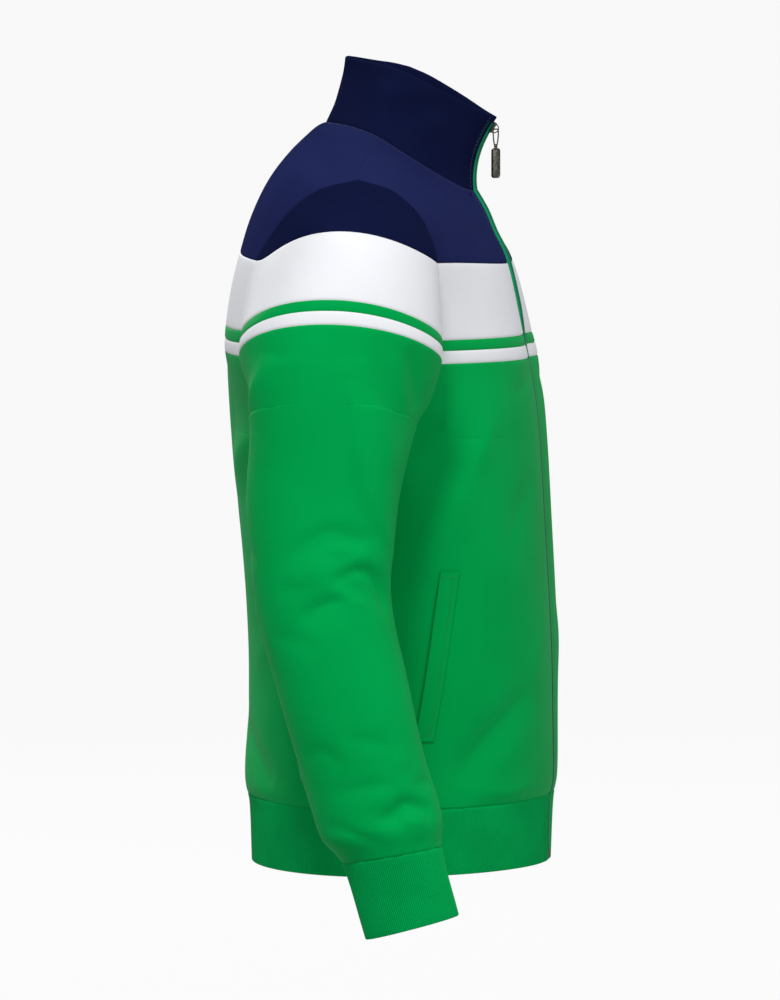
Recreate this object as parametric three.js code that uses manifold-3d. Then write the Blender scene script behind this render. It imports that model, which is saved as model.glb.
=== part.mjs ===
// Track jacket with a stand collar, a full-length zip, set-in sleeves, rib cuffs and a rib hem.
// It keeps its worn, hollow shape. Millimetres, +Z up, the front faces -Y, the wearer's right is -X.
// The origin lies midway between the two points where the shoulder seams meet the collar.
import * as THREE from 'three';
import { mergeVertices } from 'three/addons/utils/BufferGeometryUtils.js';
import Module from 'manifold-3d';

const wasm = await Module();
wasm.setup();

// Driving dimensions
const wall = { cloth: 1.6, rib: 2.4, collar: 3, welt: 1.4 };
const seamGap = 0.3;
const armholeInset = { cap: 0.25, main: 0.45 };
const frontEdge = 6.5;
const weltLift = 0.65;
const collarHollow = { front: 7, back: 3, frontShare: 0.4 };
const collarLean = 10;
const armRadius = 52;
const foldRange = { body: [-592, -150], arm: [-612, -190] };
const columns = { body: 10, sleeveHalf: 9, collar: 5 };

// A table's rows as objects, one for each row, with the named columns
function table(names, rows) {
  const keys = names.split(' ');
  return rows.map((row) => Object.fromEntries(keys.map((key, index) => [key, row[index]])));
}

function vector(x, y, z) {
  return new THREE.Vector3(x, y, z);
}

// An edge of a panel: a smooth curve through its points, read by level or by share of its length
class Edge {
  constructor(points) {
    const list = points.map(([x, y, z]) => vector(x, y, z));
    this.curve = new THREE.CatmullRomCurve3(list, false, 'catmullrom', 0.5);
    this.curve.arcLengthDivisions = 600;
    this.rising = points[points.length - 1][2] > points[0][2];
  }

  shareAt(level) {
    let low = 0;
    let high = 1;
    for (let step = 0; step < 40; step += 1) {
      const middle = (low + high) / 2;
      const below = this.curve.getPointAt(middle).z < level;
      if (below === this.rising) {
        low = middle;
      } else {
        high = middle;
      }
    }
    return (low + high) / 2;
  }

  at(share) {
    return this.curve.getPointAt(THREE.MathUtils.clamp(share, 0, 1));
  }
}

// Smooth value between the rows of a table: cubic, with slopes from the neighbours
function smooth(places, values, place) {
  const last = places.length - 1;
  let cell = 0;
  while (cell < last - 1 && place > places[cell + 1]) {
    cell += 1;
  }
  const slope = (index) => {
    const before = Math.max(index - 1, 0);
    const after = Math.min(index + 1, last);
    return (values[after] - values[before]) / (places[after] - places[before]);
  };
  const span = places[cell + 1] - places[cell];
  const t = THREE.MathUtils.clamp((place - places[cell]) / span, 0, 1);
  const rise = t * t * (3 - 2 * t);
  const first = t * (1 - t) * (1 - t) * span * slope(cell);
  const second = t * t * (t - 1) * span * slope(cell + 1);
  return values[cell] + (values[cell + 1] - values[cell]) * rise + first + second;
}

function bezier(start, startHandle, endHandle, end, t) {
  const s = 1 - t;
  const point = start.clone().multiplyScalar(s * s * s);
  point.addScaledVector(start.clone().add(startHandle), 3 * s * s * t);
  point.addScaledVector(end.clone().add(endHandle), 3 * s * t * t);
  return point.addScaledVector(end, t * t * t);
}

// Edges of one half, with x counted outward from the middle
const neckPoint = [78, 0, 0];
const shoulderPoint = [212, 3, -36];
const armpit = [190, 14, -265];

const edges = {
  centreFront: new Edge([
    [frontEdge, -144, -651], [frontEdge, -145, -600], [frontEdge, -148.5, -575], [frontEdge, -148, -520],
    [frontEdge, -146.5, -454], [frontEdge, -141.5, -364], [frontEdge, -134, -251], [frontEdge, -121, -177.5],
    [frontEdge, -107, -114], [frontEdge, -94.2, -85], [frontEdge, -86.6, -67], [frontEdge, -76.2, -49],
  ]),
  centreBack: new Edge([
    [0, 124, -651], [0, 125.5, -600], [0, 130, -572], [0, 126, -490], [0, 128, -418], [0, 135, -328],
    [0, 140.5, -238], [0, 142, -185], [0, 137, -139], [0, 128, -103], [0, 116.5, -67], [0, 97, -31],
    [0, 77, -6], [0, 58.5, 12],
  ]),
  side: new Edge([
    [169, 1, -653], [172, 2, -603], [177.5, 3, -575], [180, 4, -508], [180, 6, -418], [184, 10, -328],
    armpit,
  ]),
  armholeFront: new Edge([
    armpit, [190.5, -4, -261.5], [190, -23, -254], [188, -37, -242], [184, -48, -223], [180, -57, -199.4],
    [179, -61.5, -178.5], [182, -64.5, -142], [187, -65, -110], [192, -60.5, -89], [198, -52.5, -70],
    [204, -41, -56], [209, -24, -44], shoulderPoint,
  ]),
  armholeBack: new Edge([
    armpit, [190.5, 38, -261.5], [190, 61, -252], [188.5, 84.5, -233], [186.5, 100, -213], [185.5, 107, -191],
    [185, 108.5, -168], [187, 104, -137], [190, 96, -108], [197, 81, -84], [203, 63, -62.5],
    [209.5, 37, -44.5], shoulderPoint,
  ]),
  neckFront: new Edge([[frontEdge, -76.2, -49], [36, -66, -43.5], [63, -36, -24], neckPoint]),
  neckBack: new Edge([[0, 58.5, 12], [30, 52, 12.5], [56, 33, 10.5], [71.5, 15, 6], neckPoint]),
  collarFront: new Edge([
    [frontEdge, -95, 15.5], [22, -82.5, 22], [40, -65.5, 32], [55, -47.5, 42], [63.5, -27, 53],
    [65, -9.5, 60.5],
  ]),
  collarBack: new Edge([[0, 39.5, 70.5], [28, 36.5, 69.5], [50, 20, 66.3], [61, 5, 64], [65, -9.5, 60.5]]),
  outerArm: new Edge([
    shoulderPoint, [242, 6, -53], [268, 11, -80], [284, 14.5, -108], [297, 18, -139], [304, 19, -165],
    [310, 20.5, -200], [315, 23, -250], [321, 27.5, -325], [331, 23.5, -404], [336, 6.5, -474],
    [339, -11.5, -541], [341, -23, -578], [342, -29.5, -600], [334, -37.5, -620], [329, -46.5, -652],
    [327, -55.5, -684],
  ]),
  underArm: new Edge([
    armpit, [203, 21, -290], [219, 26.5, -330], [236, 23.5, -404], [246, 6.5, -474], [253, -11.5, -541],
    [256, -23, -578], [255, -29.5, -600], [262, -37.5, -620], [266, -46.5, -652], [267, -55.5, -684],
  ]),
};

// Lines that run round the body: levels at the middle and at the side seam or armhole
const bodyLines = table('name frontMiddle frontSide backMiddle backSide', [
  ['hemEdge', -651, -653, -651, -653],
  ['hemSeam', -591, -595, -590, -595],
  ['waist', -430, -432, -430, -432],
  ['armpit', -268, -265, -262, -265],
  ['mainTop', -198.5, -199.4, -189, -193],
  ['stripeTop', -187, -188, -177, -181],
  ['bandFoot', -177.5, -178.5, -165, -170],
  ['bandTop', -114, -110, -98, -108],
  ['neckFoot', -49, -80, 12, -56],
  ['shoulder', 0, -36, 0, -36],
]);

// How each line leaves the middle and reaches the side: handles of its curve in mm
const handleNames = 'middleX middleY middleZ sideX sideY sideZ';
const frontHandles = table(handleNames, [
  [88, 0, 0, 0, -82, 0],
  [98, -5, 0, 0, -86, 0],
  [108, -12, 0, 0, -90, 0],
  [106, -15, 0, 0, -88, 0],
  [84, -15, 0, -42, -42, 0],
  [82, -14, 0, -43, -40, 0],
  [80, -12, 0, -44, -37, 0],
  [64, -3, 0, -50, -24, 0],
  [52, 8, -9, -54, -12, 6],
  [45, -1, -9, -43, 0, 15],
]);
const backHandles = table(handleNames, [
  [88, 0, 0, 0, 70, 0],
  [98, 0, 0, 0, 72, 0],
  [106, 0, 0, 0, 72, 0],
  [108, 0, 0, 0, 74, 0],
  [86, 0, 0, -42, 28, 0],
  [85, 0, 0, -42, 27, 0],
  [84, 0, 0, -42, 26, 0],
  [76, 0, -3, -46, 28, 4],
  [48, 10, -2, -50, 36, 20],
  [45, -1, -9, -43, 0, 15],
]);

// Lines that run round the arm above the armpit: their level at the outer side, and the handles of their
// arcs, which end on the armhole's front and back at the body's own lines
const armLines = table('name outer frontX frontY frontMeet backX backY backMeet', [
  ['armpit', -229, 0, -96, -92, 0, 92, 94],
  ['mainTop', -160.3, 46, -39, -80, 48, 6, 78],
  ['stripeTop', -148.5, 46, -34, -76, 46, 2, 74],
  ['bandFoot', -139, 46, -30, -72, 44, -2, 70],
  ['bandTop', -80, 36, -8, -50, 34, -16, 50],
  ['neckFoot', -55, 20, 0, -30, 20, -12, 26],
  ['shoulder', -36, 0, 0, 0, 0, 0, 0],
]);

// Rings of the sleeve below the armpit: levels at the outer and the under side, half the width from front
// to back, and how much the ring leans to the front
const ringLines = table('name outer under half lean', [
  ['armpit', -229, -265, 71.5, 0],
  ['bicep', -310, -328, 66.5, 0],
  ['elbow', -404, -404, 59.5, -0.04],
  ['forearm', -474, -474, 57, -0.09],
  ['wrist', -541, -541, 54, -0.14],
  ['blouse', -598, -598, 53, -0.17],
  ['cuffSeam', -621.5, -621.5, 43.5, -0.18],
  ['cuffEdge', -684, -684, 40.5, -0.27],
]);

// Rows of quads from one line to the next
const rowsTo = {
  hemSeam: 2, waist: 6, armpit: 7, mainTop: 4, stripeTop: 1, bandFoot: 1, bandTop: 3, neckFoot: 3,
  shoulder: 5,
};
const ringRowsTo = { bicep: 4, elbow: 4, forearm: 3, wrist: 3, blouse: 3, cuffSeam: 2, cuffEdge: 3 };

// Large folds of the sleeve: angle round the arm (0 outer, 90 front, -90 back) and level of both ends
const armFolds = table('angle level angleEnd levelEnd depth width', [
  [20, -205, 78, -358, 4.5, 15],
  [-23, -364, 53, -348, -3.5, 13],
  [-14, -378, 52, -362, 2.5, 12],
  [22, -380, 73, -402, -4.5, 12],
  [-18, -418, 33, -400, -3, 13],
  [-42, -190, -79, -250, 4, 15],
  [4, -590, 69, -578, -3.5, 12],
  [150, -300, 110, -380, -4, 16],
  [-150, -430, 150, -470, -5, 16],
]);

// Large folds of the front: distance from the front edge and level of both ends
const frontFolds = table('across level acrossEnd levelEnd depth width', [
  [123, -248, 207, -395, 3.5, 22],
  [86, -495, 174, -572, -3.5, 18],
  [150, -300, 235, -275, -4, 18],
]);

// Large folds of the back: distance from its middle and level of both ends
const backFolds = table('across level acrossEnd levelEnd depth width', [
  [60, -300, 190, -240, 4, 22],
  [30, -520, 140, -575, -4, 18],
  [120, -420, 215, -350, -3.5, 20],
  [20, -180, 30, -330, 3, 24],
]);

// Distance from a point to the stretch between the ends of a fold, and the share along it
function nearFold(across, level, fold, acrossEnd, start) {
  const dx = acrossEnd - start;
  const dz = fold.levelEnd - fold.level;
  const along = ((across - start) * dx + (level - fold.level) * dz) / (dx * dx + dz * dz);
  const share = THREE.MathUtils.clamp(along, 0, 1);
  return [Math.hypot(across - start - share * dx, level - fold.level - share * dz), share];
}

function foldShift(distance, share, fold) {
  const fade = 0.35 + 0.65 * Math.sin(Math.PI * THREE.MathUtils.clamp(share, 0.02, 0.98));
  return fold.depth * fade * Math.exp(-((distance / fold.width) ** 2));
}

// Length along the side from the first line to each line
function lineRuns(lines, key, pointOf) {
  const points = lines.map((line) => pointOf(line.name, line[key]));
  const runs = [0];
  for (let index = 1; index < lines.length; index += 1) {
    runs.push(runs[index - 1] + points[index].distanceTo(points[index - 1]));
  }
  return runs;
}

function sideEdge(armhole, name) {
  return ['hemEdge', 'hemSeam', 'waist'].includes(name) ? edges.side : armhole;
}

// Rows of points of one half of the front or back between two named lines
function bodyRows(part, from, to) {
  const front = part === 'front';
  const centre = front ? edges.centreFront : edges.centreBack;
  const neck = front ? edges.neckFront : edges.neckBack;
  const armhole = front ? edges.armholeFront : edges.armholeBack;
  const handles = front ? frontHandles : backHandles;
  const middleKey = front ? 'frontMiddle' : 'backMiddle';
  const sideKey = front ? 'frontSide' : 'backSide';
  const count = columns.body;
  const folds = front ? frontFolds : backFolds;
  const sidePoint = (name, level) => {
    const edge = sideEdge(armhole, name);
    return edge.at(edge.shareAt(level));
  };
  const runs = lineRuns(bodyLines, sideKey, sidePoint);
  const reaches = handles.map((row, index) => {
    const line = bodyLines[index];
    return sidePoint(line.name, line[sideKey]).add(vector(row.sideX, row.sideY, row.sideZ));
  });
  const first = bodyLines.findIndex((line) => line.name === from);
  const last = bodyLines.findIndex((line) => line.name === to);
  const rows = [];
  for (let index = first; index < last; index += 1) {
    const below = bodyLines[index];
    const above = bodyLines[index + 1];
    const steps = rowsTo[above.name];
    const sideCurve = sideEdge(armhole, below.name);
    const isTop = above.name === 'shoulder';
    const middleCurve = isTop ? neck : centre;
    const middleFrom = isTop ? 0 : centre.shareAt(below[middleKey]);
    const middleTo = isTop ? 1 : centre.shareAt(above[middleKey]);
    const sideFrom = below.name === 'armpit' ? 0 : sideCurve.shareAt(below[sideKey]);
    const closes = above.name === 'shoulder' || above.name === 'armpit';
    const sideTo = closes ? 1 : sideCurve.shareAt(above[sideKey]);
    for (let step = index === first ? 0 : 1; step <= steps; step += 1) {
      const t = step / steps;
      const middle = middleCurve.at(THREE.MathUtils.lerp(middleFrom, middleTo, t));
      const side = sideCurve.at(THREE.MathUtils.lerp(sideFrom, sideTo, t));
      const run = THREE.MathUtils.lerp(runs[index], runs[index + 1], t);
      const read = (list, keys) => {
        return vector(...keys.map((key) => smooth(runs, list.map((row) => row[key]), run)));
      };
      const middleHandle = read(handles, ['middleX', 'middleY', 'middleZ']);
      const sideHandle = read(reaches, ['x', 'y', 'z']).sub(side);
      const row = [];
      for (let column = 0; column <= count; column += 1) {
        row.push(bezier(middle, middleHandle, sideHandle, side, column / count));
      }
      rows.push(row);
    }
  }
  return applyFolds(rows, front ? 1 : -1, (point, across) => {
    if (!within(point.z, foldRange.body)) {
      return 0;
    }
    return folds.reduce((sum, fold) => {
      const [distance, share] = nearFold(across, point.z, fold, fold.acrossEnd, fold.across);
      return sum + foldShift(distance, share, fold);
    }, 0);
  });
}

function within(value, [low, high]) {
  return value > low && value < high;
}

// Moves the inner points of each row out of the surface, and leaves its rim where it is
function applyFolds(rows, outward, shiftOf) {
  const normals = gridNormals(rows);
  return rows.map((row, rowIndex) => {
    let across = 0;
    return row.map((point, column) => {
      if (column > 0) {
        across += point.distanceTo(row[column - 1]);
      }
      const rim = Math.min(column, row.length - 1 - column);
      const ease = Math.min(1, rim / 2);
      const shift = outward * shiftOf(point, across) * ease;
      return point.clone().addScaledVector(normals[rowIndex][column], shift);
    });
  });
}

function gridNormals(rows) {
  return rows.map((row, rowIndex) => row.map((point, column) => {
    const below = rows[Math.max(rowIndex - 1, 0)][column];
    const above = rows[Math.min(rowIndex + 1, rows.length - 1)][column];
    const left = row[Math.max(column - 1, 0)];
    const right = row[Math.min(column + 1, row.length - 1)];
    const across = right.clone().sub(left);
    const up = above.clone().sub(below);
    return across.cross(up).normalize();
  }));
}

// Rows of the sleeve: from the front of the armhole over the outer side to its back
function armRow(front, back, outer, frontHandle, frontMeet, backHandle, backMeet, lean) {
  const half = columns.sleeveHalf;
  const row = [];
  for (let column = 0; column <= half; column += 1) {
    row.push(bezier(front, frontHandle, vector(0, frontMeet, 0), outer, column / half));
  }
  for (let column = 1; column <= half; column += 1) {
    row.push(bezier(outer, vector(0, backMeet, 0), backHandle, back, column / half));
  }
  row.forEach((point) => {
    point.z += lean * (point.y - outer.y);
  });
  return row;
}

function armAngle(point, centre) {
  return THREE.MathUtils.radToDeg(Math.atan2(-(point.y - centre.y), point.x - centre.x));
}

function foldArm(rows) {
  const normals = gridNormals(rows).map((row) => row.map((normal) => normal.negate()));
  return rows.map((row, rowIndex) => row.map((point, column) => {
    const outer = row[columns.sleeveHalf];
    const under = row[0].clone().add(row[row.length - 1]).multiplyScalar(0.5);
    const centre = outer.clone().add(under).multiplyScalar(0.5);
    const rim = Math.min(column, row.length - 1 - column);
    const ease = Math.min(1, rim / 2);
    if (!within(point.z, foldRange.arm)) {
      return point;
    }
    const angle = armAngle(point, centre);
    const perDegree = THREE.MathUtils.degToRad(1) * armRadius;
    let shift = 0;
    for (const fold of armFolds) {
      let turn = angle - fold.angle;
      turn -= 360 * Math.round(turn / 360);
      let spread = fold.angleEnd - fold.angle;
      spread -= 360 * Math.round(spread / 360);
      const [distance, share] = nearFold(turn * perDegree, point.z, fold, spread * perDegree, 0);
      shift += foldShift(distance, share, fold);
    }
    return point.clone().addScaledVector(normals[rowIndex][column], shift * ease);
  }));
}

function capRows(from, to) {
  const first = bodyLines.findIndex((line) => line.name === from);
  const last = bodyLines.findIndex((line) => line.name === to);
  const rows = [];
  const arm = (name) => armLines.find((line) => line.name === name);
  const outerRuns = armLines.map((line) => -edges.outerArm.shareAt(line.outer));
  const share = (edge, line, key) => {
    if (line.name === 'armpit') {
      return 0;
    }
    return line.name === 'shoulder' ? 1 : edge.shareAt(line[key]);
  };
  const reachesOf = (edge, levelKey, xKey, yKey) => armLines.map((line) => {
    const bodyLine = bodyLines.find((row) => row.name === line.name);
    return edge.at(share(edge, bodyLine, levelKey)).add(vector(line[xKey], line[yKey], 0));
  });
  const frontReaches = reachesOf(edges.armholeFront, 'frontSide', 'frontX', 'frontY');
  const backReaches = reachesOf(edges.armholeBack, 'backSide', 'backX', 'backY');
  for (let index = first; index < last; index += 1) {
    const below = bodyLines[index];
    const above = bodyLines[index + 1];
    const steps = rowsTo[above.name];
    const isTop = above.name === 'shoulder';
    const outerFrom = edges.outerArm.shareAt(arm(below.name).outer);
    const outerTo = isTop ? 0 : edges.outerArm.shareAt(arm(above.name).outer);
    for (let step = index === first ? 0 : 1; step <= steps; step += 1) {
      const t = step / steps;
      const onEdge = (edge, key) => {
        return edge.at(THREE.MathUtils.lerp(share(edge, below, key), share(edge, above, key), t));
      };
      const front = onEdge(edges.armholeFront, 'frontSide');
      const back = onEdge(edges.armholeBack, 'backSide');
      const outerShare = THREE.MathUtils.lerp(outerFrom, outerTo, t);
      const outer = edges.outerArm.at(outerShare);
      const read = (list, key) => smooth(outerRuns, list.map((row) => row[key]), -outerShare);
      const reach = (list) => vector(read(list, 'x'), read(list, 'y'), read(list, 'z'));
      const frontHandle = reach(frontReaches).sub(front);
      const backHandle = reach(backReaches).sub(back);
      const meets = [read(armLines, 'frontMeet'), read(armLines, 'backMeet')];
      rows.push(armRow(front, back, outer, frontHandle, meets[0], backHandle, meets[1], 0));
    }
  }
  return rows;
}

function ringRows(from, to) {
  const first = ringLines.findIndex((line) => line.name === from);
  const last = ringLines.findIndex((line) => line.name === to);
  const runs = ringLines.map((line) => -line.outer);
  const rows = [];
  for (let index = first; index < last; index += 1) {
    const above = ringLines[index];
    const below = ringLines[index + 1];
    const steps = ringRowsTo[below.name];
    const outerFrom = edges.outerArm.shareAt(above.outer);
    const outerTo = edges.outerArm.shareAt(below.outer);
    const underFrom = above.name === 'armpit' ? 0 : edges.underArm.shareAt(above.under);
    const underTo = edges.underArm.shareAt(below.under);
    for (let step = index === first ? 0 : 1; step <= steps; step += 1) {
      const t = step / steps;
      const outer = edges.outerArm.at(THREE.MathUtils.lerp(outerFrom, outerTo, t));
      const under = edges.underArm.at(THREE.MathUtils.lerp(underFrom, underTo, t));
      const run = THREE.MathUtils.lerp(runs[index], runs[index + 1], t);
      const half = smooth(runs, ringLines.map((line) => line.half), run);
      const lean = smooth(runs, ringLines.map((line) => line.lean), run);
      const reach = (4 / 3) * half;
      const forward = vector(0, -reach, 0);
      const backward = vector(0, reach, 0);
      rows.push(armRow(under, under, outer, forward, -reach, backward, reach, lean));
    }
  }
  return rows;
}

// The collar's rows from its seam up to its rim, from the front edge round to the middle of the back
function collarRows() {
  const seam = [];
  const rim = [];
  const hollows = [];
  const steps = rowsTo.shoulder;
  const seamLengths = [edges.neckFront, edges.neckBack].map((edge) => edge.curve.getLength());
  const split = seamLengths[0] / (seamLengths[0] + seamLengths[1]);
  const rimLengths = [edges.collarFront, edges.collarBack].map((edge) => edge.curve.getLength());
  const rimSplit = rimLengths[0] / (rimLengths[0] + rimLengths[1]);
  const rimAt = (share) => {
    if (share < rimSplit) {
      return edges.collarFront.at(share / rimSplit);
    }
    return edges.collarBack.at(1 - (share - rimSplit) / (1 - rimSplit));
  };
  const addColumn = (seamPoint, share) => {
    const fromFront = THREE.MathUtils.smoothstep(share, 0, collarHollow.frontShare);
    seam.push(seamPoint);
    rim.push(rimAt(share));
    hollows.push(THREE.MathUtils.lerp(collarHollow.front, collarHollow.back, fromFront));
  };
  for (let step = 0; step <= steps; step += 1) {
    addColumn(edges.neckFront.at(step / steps), (split * step) / steps);
  }
  for (let step = 1; step <= steps; step += 1) {
    addColumn(edges.neckBack.at(1 - step / steps), split + ((1 - split) * step) / steps);
  }
  const rows = [];
  for (let level = 0; level <= columns.collar; level += 1) {
    const t = level / columns.collar;
    rows.push(seam.map((point, column) => {
      const top = rim[column];
      const out = vector(top.x, top.y + collarLean, 0).normalize();
      return point.clone().lerp(top, t).addScaledVector(out, -4 * hollows[column] * t * (1 - t));
    }));
  }
  return rows;
}

// One sheet of cloth: its name, colour, thickness and grids of points
const sheets = [];

function mirrored(rows) {
  return rows.map((row) => row.map((point) => vector(-point.x, point.y, point.z)));
}

// inset is how far the sheet's edges stay inside its grids
function addSheet(name, finish, thickness, grids, inset = seamGap / 2) {
  sheets.push({ name, finish, thickness, grids, inset });
}

function trianglesOf(grid) {
  const list = [];
  for (let row = 0; row + 1 < grid.rows.length; row += 1) {
    for (let column = 0; column + 1 < grid.rows[row].length; column += 1) {
      const a = grid.rows[row][column];
      const b = grid.rows[row][column + 1];
      const c = grid.rows[row + 1][column + 1];
      const d = grid.rows[row + 1][column];
      const quads = grid.flip ? [[a, c, b], [a, d, c]] : [[a, b, c], [a, c, d]];
      list.push(...quads);
    }
  }
  return list;
}

function keyOf(point) {
  return [point.x, point.y, point.z].map((value) => Math.round(value * 200)).join(' ');
}

// Normals of all these sheets as one surface of shared points, so that they agree at every seam
function sharedNormals(list) {
  const normals = new Map();
  for (const sheet of list) {
    for (const grid of sheet.grids) {
      for (const [a, b, c] of trianglesOf(grid)) {
        const normal = b.clone().sub(a).cross(c.clone().sub(a));
        for (const point of [a, b, c]) {
          const key = keyOf(point);
          normals.set(key, (normals.get(key) ?? vector(0, 0, 0)).add(normal));
        }
      }
    }
  }
  normals.forEach((normal, key) => {
    const [x, y] = key.split(' ').map(Number);
    const onFrontEdge = Math.abs(x) <= (frontEdge + 0.01) * 200 && y < 0;
    normal.setX(onFrontEdge ? 0 : normal.x);
    normal.normalize();
  });
  return normals;
}

// A closed wall: the sheet's outer side, the same points moved in, and strips along its open edges
function wallOf(sheet, normals) {
  const points = [];
  const index = new Map();
  const faces = [];
  const indexOf = (point) => {
    const key = keyOf(point);
    if (!index.has(key)) {
      index.set(key, points.length);
      points.push(point.clone());
    }
    return index.get(key);
  };
  for (const grid of sheet.grids) {
    for (const corners of trianglesOf(grid)) {
      const face = corners.map(indexOf);
      if (new Set(face).size === 3) {
        faces.push(face);
      }
    }
  }
  const used = new Map();
  faces.forEach((face) => {
    for (let corner = 0; corner < 3; corner += 1) {
      used.set(`${face[corner]} ${face[(corner + 1) % 3]}`, face);
    }
  });
  const open = [];
  used.forEach((face, edge) => {
    const [from, to] = edge.split(' ').map(Number);
    if (!used.has(`${to} ${from}`)) {
      open.push([from, to]);
    }
  });
  const inward = points.map(() => []);
  for (const [from, to] of open) {
    const along = points[to].clone().sub(points[from]).normalize();
    const normal = normals.get(keyOf(points[from])).clone().add(normals.get(keyOf(points[to])));
    const inside = normal.normalize().cross(along).normalize();
    inward[from].push(inside);
    inward[to].push(inside);
  }
  const outer = points.map((point, place) => {
    if (inward[place].length === 0) {
      return point;
    }
    const sum = vector(0, 0, 0);
    inward[place].forEach((inside) => sum.add(inside));
    const direction = sum.clone().normalize();
    const share = Math.max(direction.dot(inward[place][0]), 0.5);
    return point.clone().addScaledVector(direction, sheet.inset / share);
  });
  const inner = outer.map((point, place) => {
    return point.clone().addScaledVector(normals.get(keyOf(points[place])), -sheet.thickness);
  });
  const count = points.length;
  const all = [...outer, ...inner];
  const indices = [];
  faces.forEach(([a, b, c]) => {
    indices.push(a, b, c, count + a, count + c, count + b);
  });
  open.forEach(([from, to]) => {
    indices.push(from, count + from, to, to, count + from, count + to);
  });
  return geometryOf(all, indices);
}

function geometryOf(points, indices) {
  const geometry = new THREE.BufferGeometry();
  const values = points.flatMap((point) => [point.x, point.y, point.z]);
  geometry.setAttribute('position', new THREE.Float32BufferAttribute(values, 3));
  geometry.setIndex(indices);
  return geometry;
}

// Finishes
const finishes = {
  green: new THREE.MeshStandardMaterial({ color: 0x009e4d, roughness: 0.55 }),
  navy: new THREE.MeshStandardMaterial({ color: 0x212855, roughness: 0.55 }),
  white: new THREE.MeshStandardMaterial({ color: 0xe4e4ec, roughness: 0.55 }),
  rib: new THREE.MeshStandardMaterial({ color: 0x009048, roughness: 0.75 }),
  zip: new THREE.MeshStandardMaterial({ color: 0x1c8f63, roughness: 0.6 }),
  metal: new THREE.MeshStandardMaterial({ color: 0x4c4a48, roughness: 0.4, metalness: 0.9 }),
};

const jacket = new THREE.Group();

function addMesh(name, geometry, finish) {
  const mesh = new THREE.Mesh(geometry, finishes[finish].clone());
  mesh.name = name;
  jacket.add(mesh);
  return mesh;
}

// Panels of the body, the same list for the front and the back
const bodyPieces = table('piece from to finish', [
  ['yoke', 'bandTop', 'shoulder', 'navy'],
  ['band', 'bandFoot', 'bandTop', 'white'],
  ['stripe_green', 'stripeTop', 'bandFoot', 'green'],
  ['stripe_white', 'mainTop', 'stripeTop', 'white'],
  ['main', 'hemSeam', 'mainTop', 'green'],
]);

function cutRows(part) {
  const all = bodyRows(part, 'hemEdge', 'shoulder');
  const starts = {};
  let place = 0;
  starts[bodyLines[0].name] = 0;
  for (let index = 1; index < bodyLines.length; index += 1) {
    place += rowsTo[bodyLines[index].name];
    starts[bodyLines[index].name] = place;
  }
  return { all, between: (from, to) => all.slice(starts[from], starts[to] + 1) };
}

const cut = { front: cutRows('front'), back: cutRows('back') };

// The sleeve's rows from the shoulder point down to the cuff's edge, with the names of its lines
function sleeveCut() {
  const cap = capRows('armpit', 'shoulder').reverse();
  const rings = ringRows('armpit', 'cuffEdge');
  const all = foldArm([...cap, ...rings.slice(1)]);
  const starts = { shoulder: 0 };
  let place = 0;
  for (let index = bodyLines.length - 1; index > 3; index -= 1) {
    place += rowsTo[bodyLines[index].name];
    starts[bodyLines[index - 1].name] = place;
  }
  for (let index = 1; index < ringLines.length; index += 1) {
    place += ringRowsTo[ringLines[index].name];
    starts[ringLines[index].name] = place;
  }
  return { all, between: (from, to) => all.slice(starts[from], starts[to] + 1) };
}

const sleeve = sleeveCut();

// The fronts are cut as a right and a left half, and each piece of the back is one piece
function addBodySheets() {
  for (const row of bodyPieces) {
    const front = cut.front.between(row.from, row.to);
    const back = cut.back.between(row.from, row.to);
    const right = { rows: mirrored(front), flip: true };
    const backHalves = [{ rows: mirrored(back), flip: false }, { rows: back, flip: true }];
    addSheet(`front_${row.piece}_right`, row.finish, wall.cloth, [right]);
    addSheet(`front_${row.piece}_left`, row.finish, wall.cloth, [{ rows: front, flip: false }]);
    addSheet(`back_${row.piece}`, row.finish, wall.cloth, backHalves);
  }
}

const sleevePieces = table('piece from to finish', [
  ['cap', 'shoulder', 'bandTop', 'navy'],
  ['band', 'bandTop', 'bandFoot', 'white'],
  ['stripe_green', 'bandFoot', 'stripeTop', 'green'],
  ['stripe_white', 'stripeTop', 'mainTop', 'white'],
  ['main', 'mainTop', 'cuffSeam', 'green'],
]);

function addSleeveSheets(sideName, turn, flip) {
  for (const row of sleevePieces) {
    const rows = turn(sleeve.between(row.from, row.to));
    const inset = row.piece === 'main' ? armholeInset.main : armholeInset.cap;
    addSheet(`sleeve_${row.piece}_${sideName}`, row.finish, wall.cloth, [{ rows, flip }], inset);
  }
  const cuff = turn(sleeve.between('cuffSeam', 'cuffEdge'));
  addSheet(`cuff_${sideName}`, 'rib', wall.rib, [{ rows: cuff, flip }]);
}

const same = (rows) => rows;
addBodySheets();
addSleeveSheets('right', mirrored, false);
addSleeveSheets('left', same, true);

const frontRib = cut.front.between('hemEdge', 'hemSeam');
const backRib = cut.back.between('hemEdge', 'hemSeam');
addSheet('hem_rib', 'rib', wall.rib, [
  { rows: mirrored(frontRib), flip: true },
  { rows: mirrored(backRib), flip: false },
  { rows: frontRib, flip: false },
  { rows: backRib, flip: true },
]);

const collar = collarRows();
addSheet('collar', 'navy', wall.collar, [
  { rows: mirrored(collar), flip: true },
  { rows: collar, flip: false },
]);

const garmentNormals = sharedNormals(sheets);
sheets.forEach((sheet) => addMesh(sheet.name, wallOf(sheet, garmentNormals), sheet.finish));

// Pocket welts: a strip sewn on each front, slanting back as it goes down
const pocket = {
  top: { level: -383, near: 173, far: 190.5 },
  foot: { level: -533, near: 196, far: 212 },
  steps: 8,
};

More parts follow.
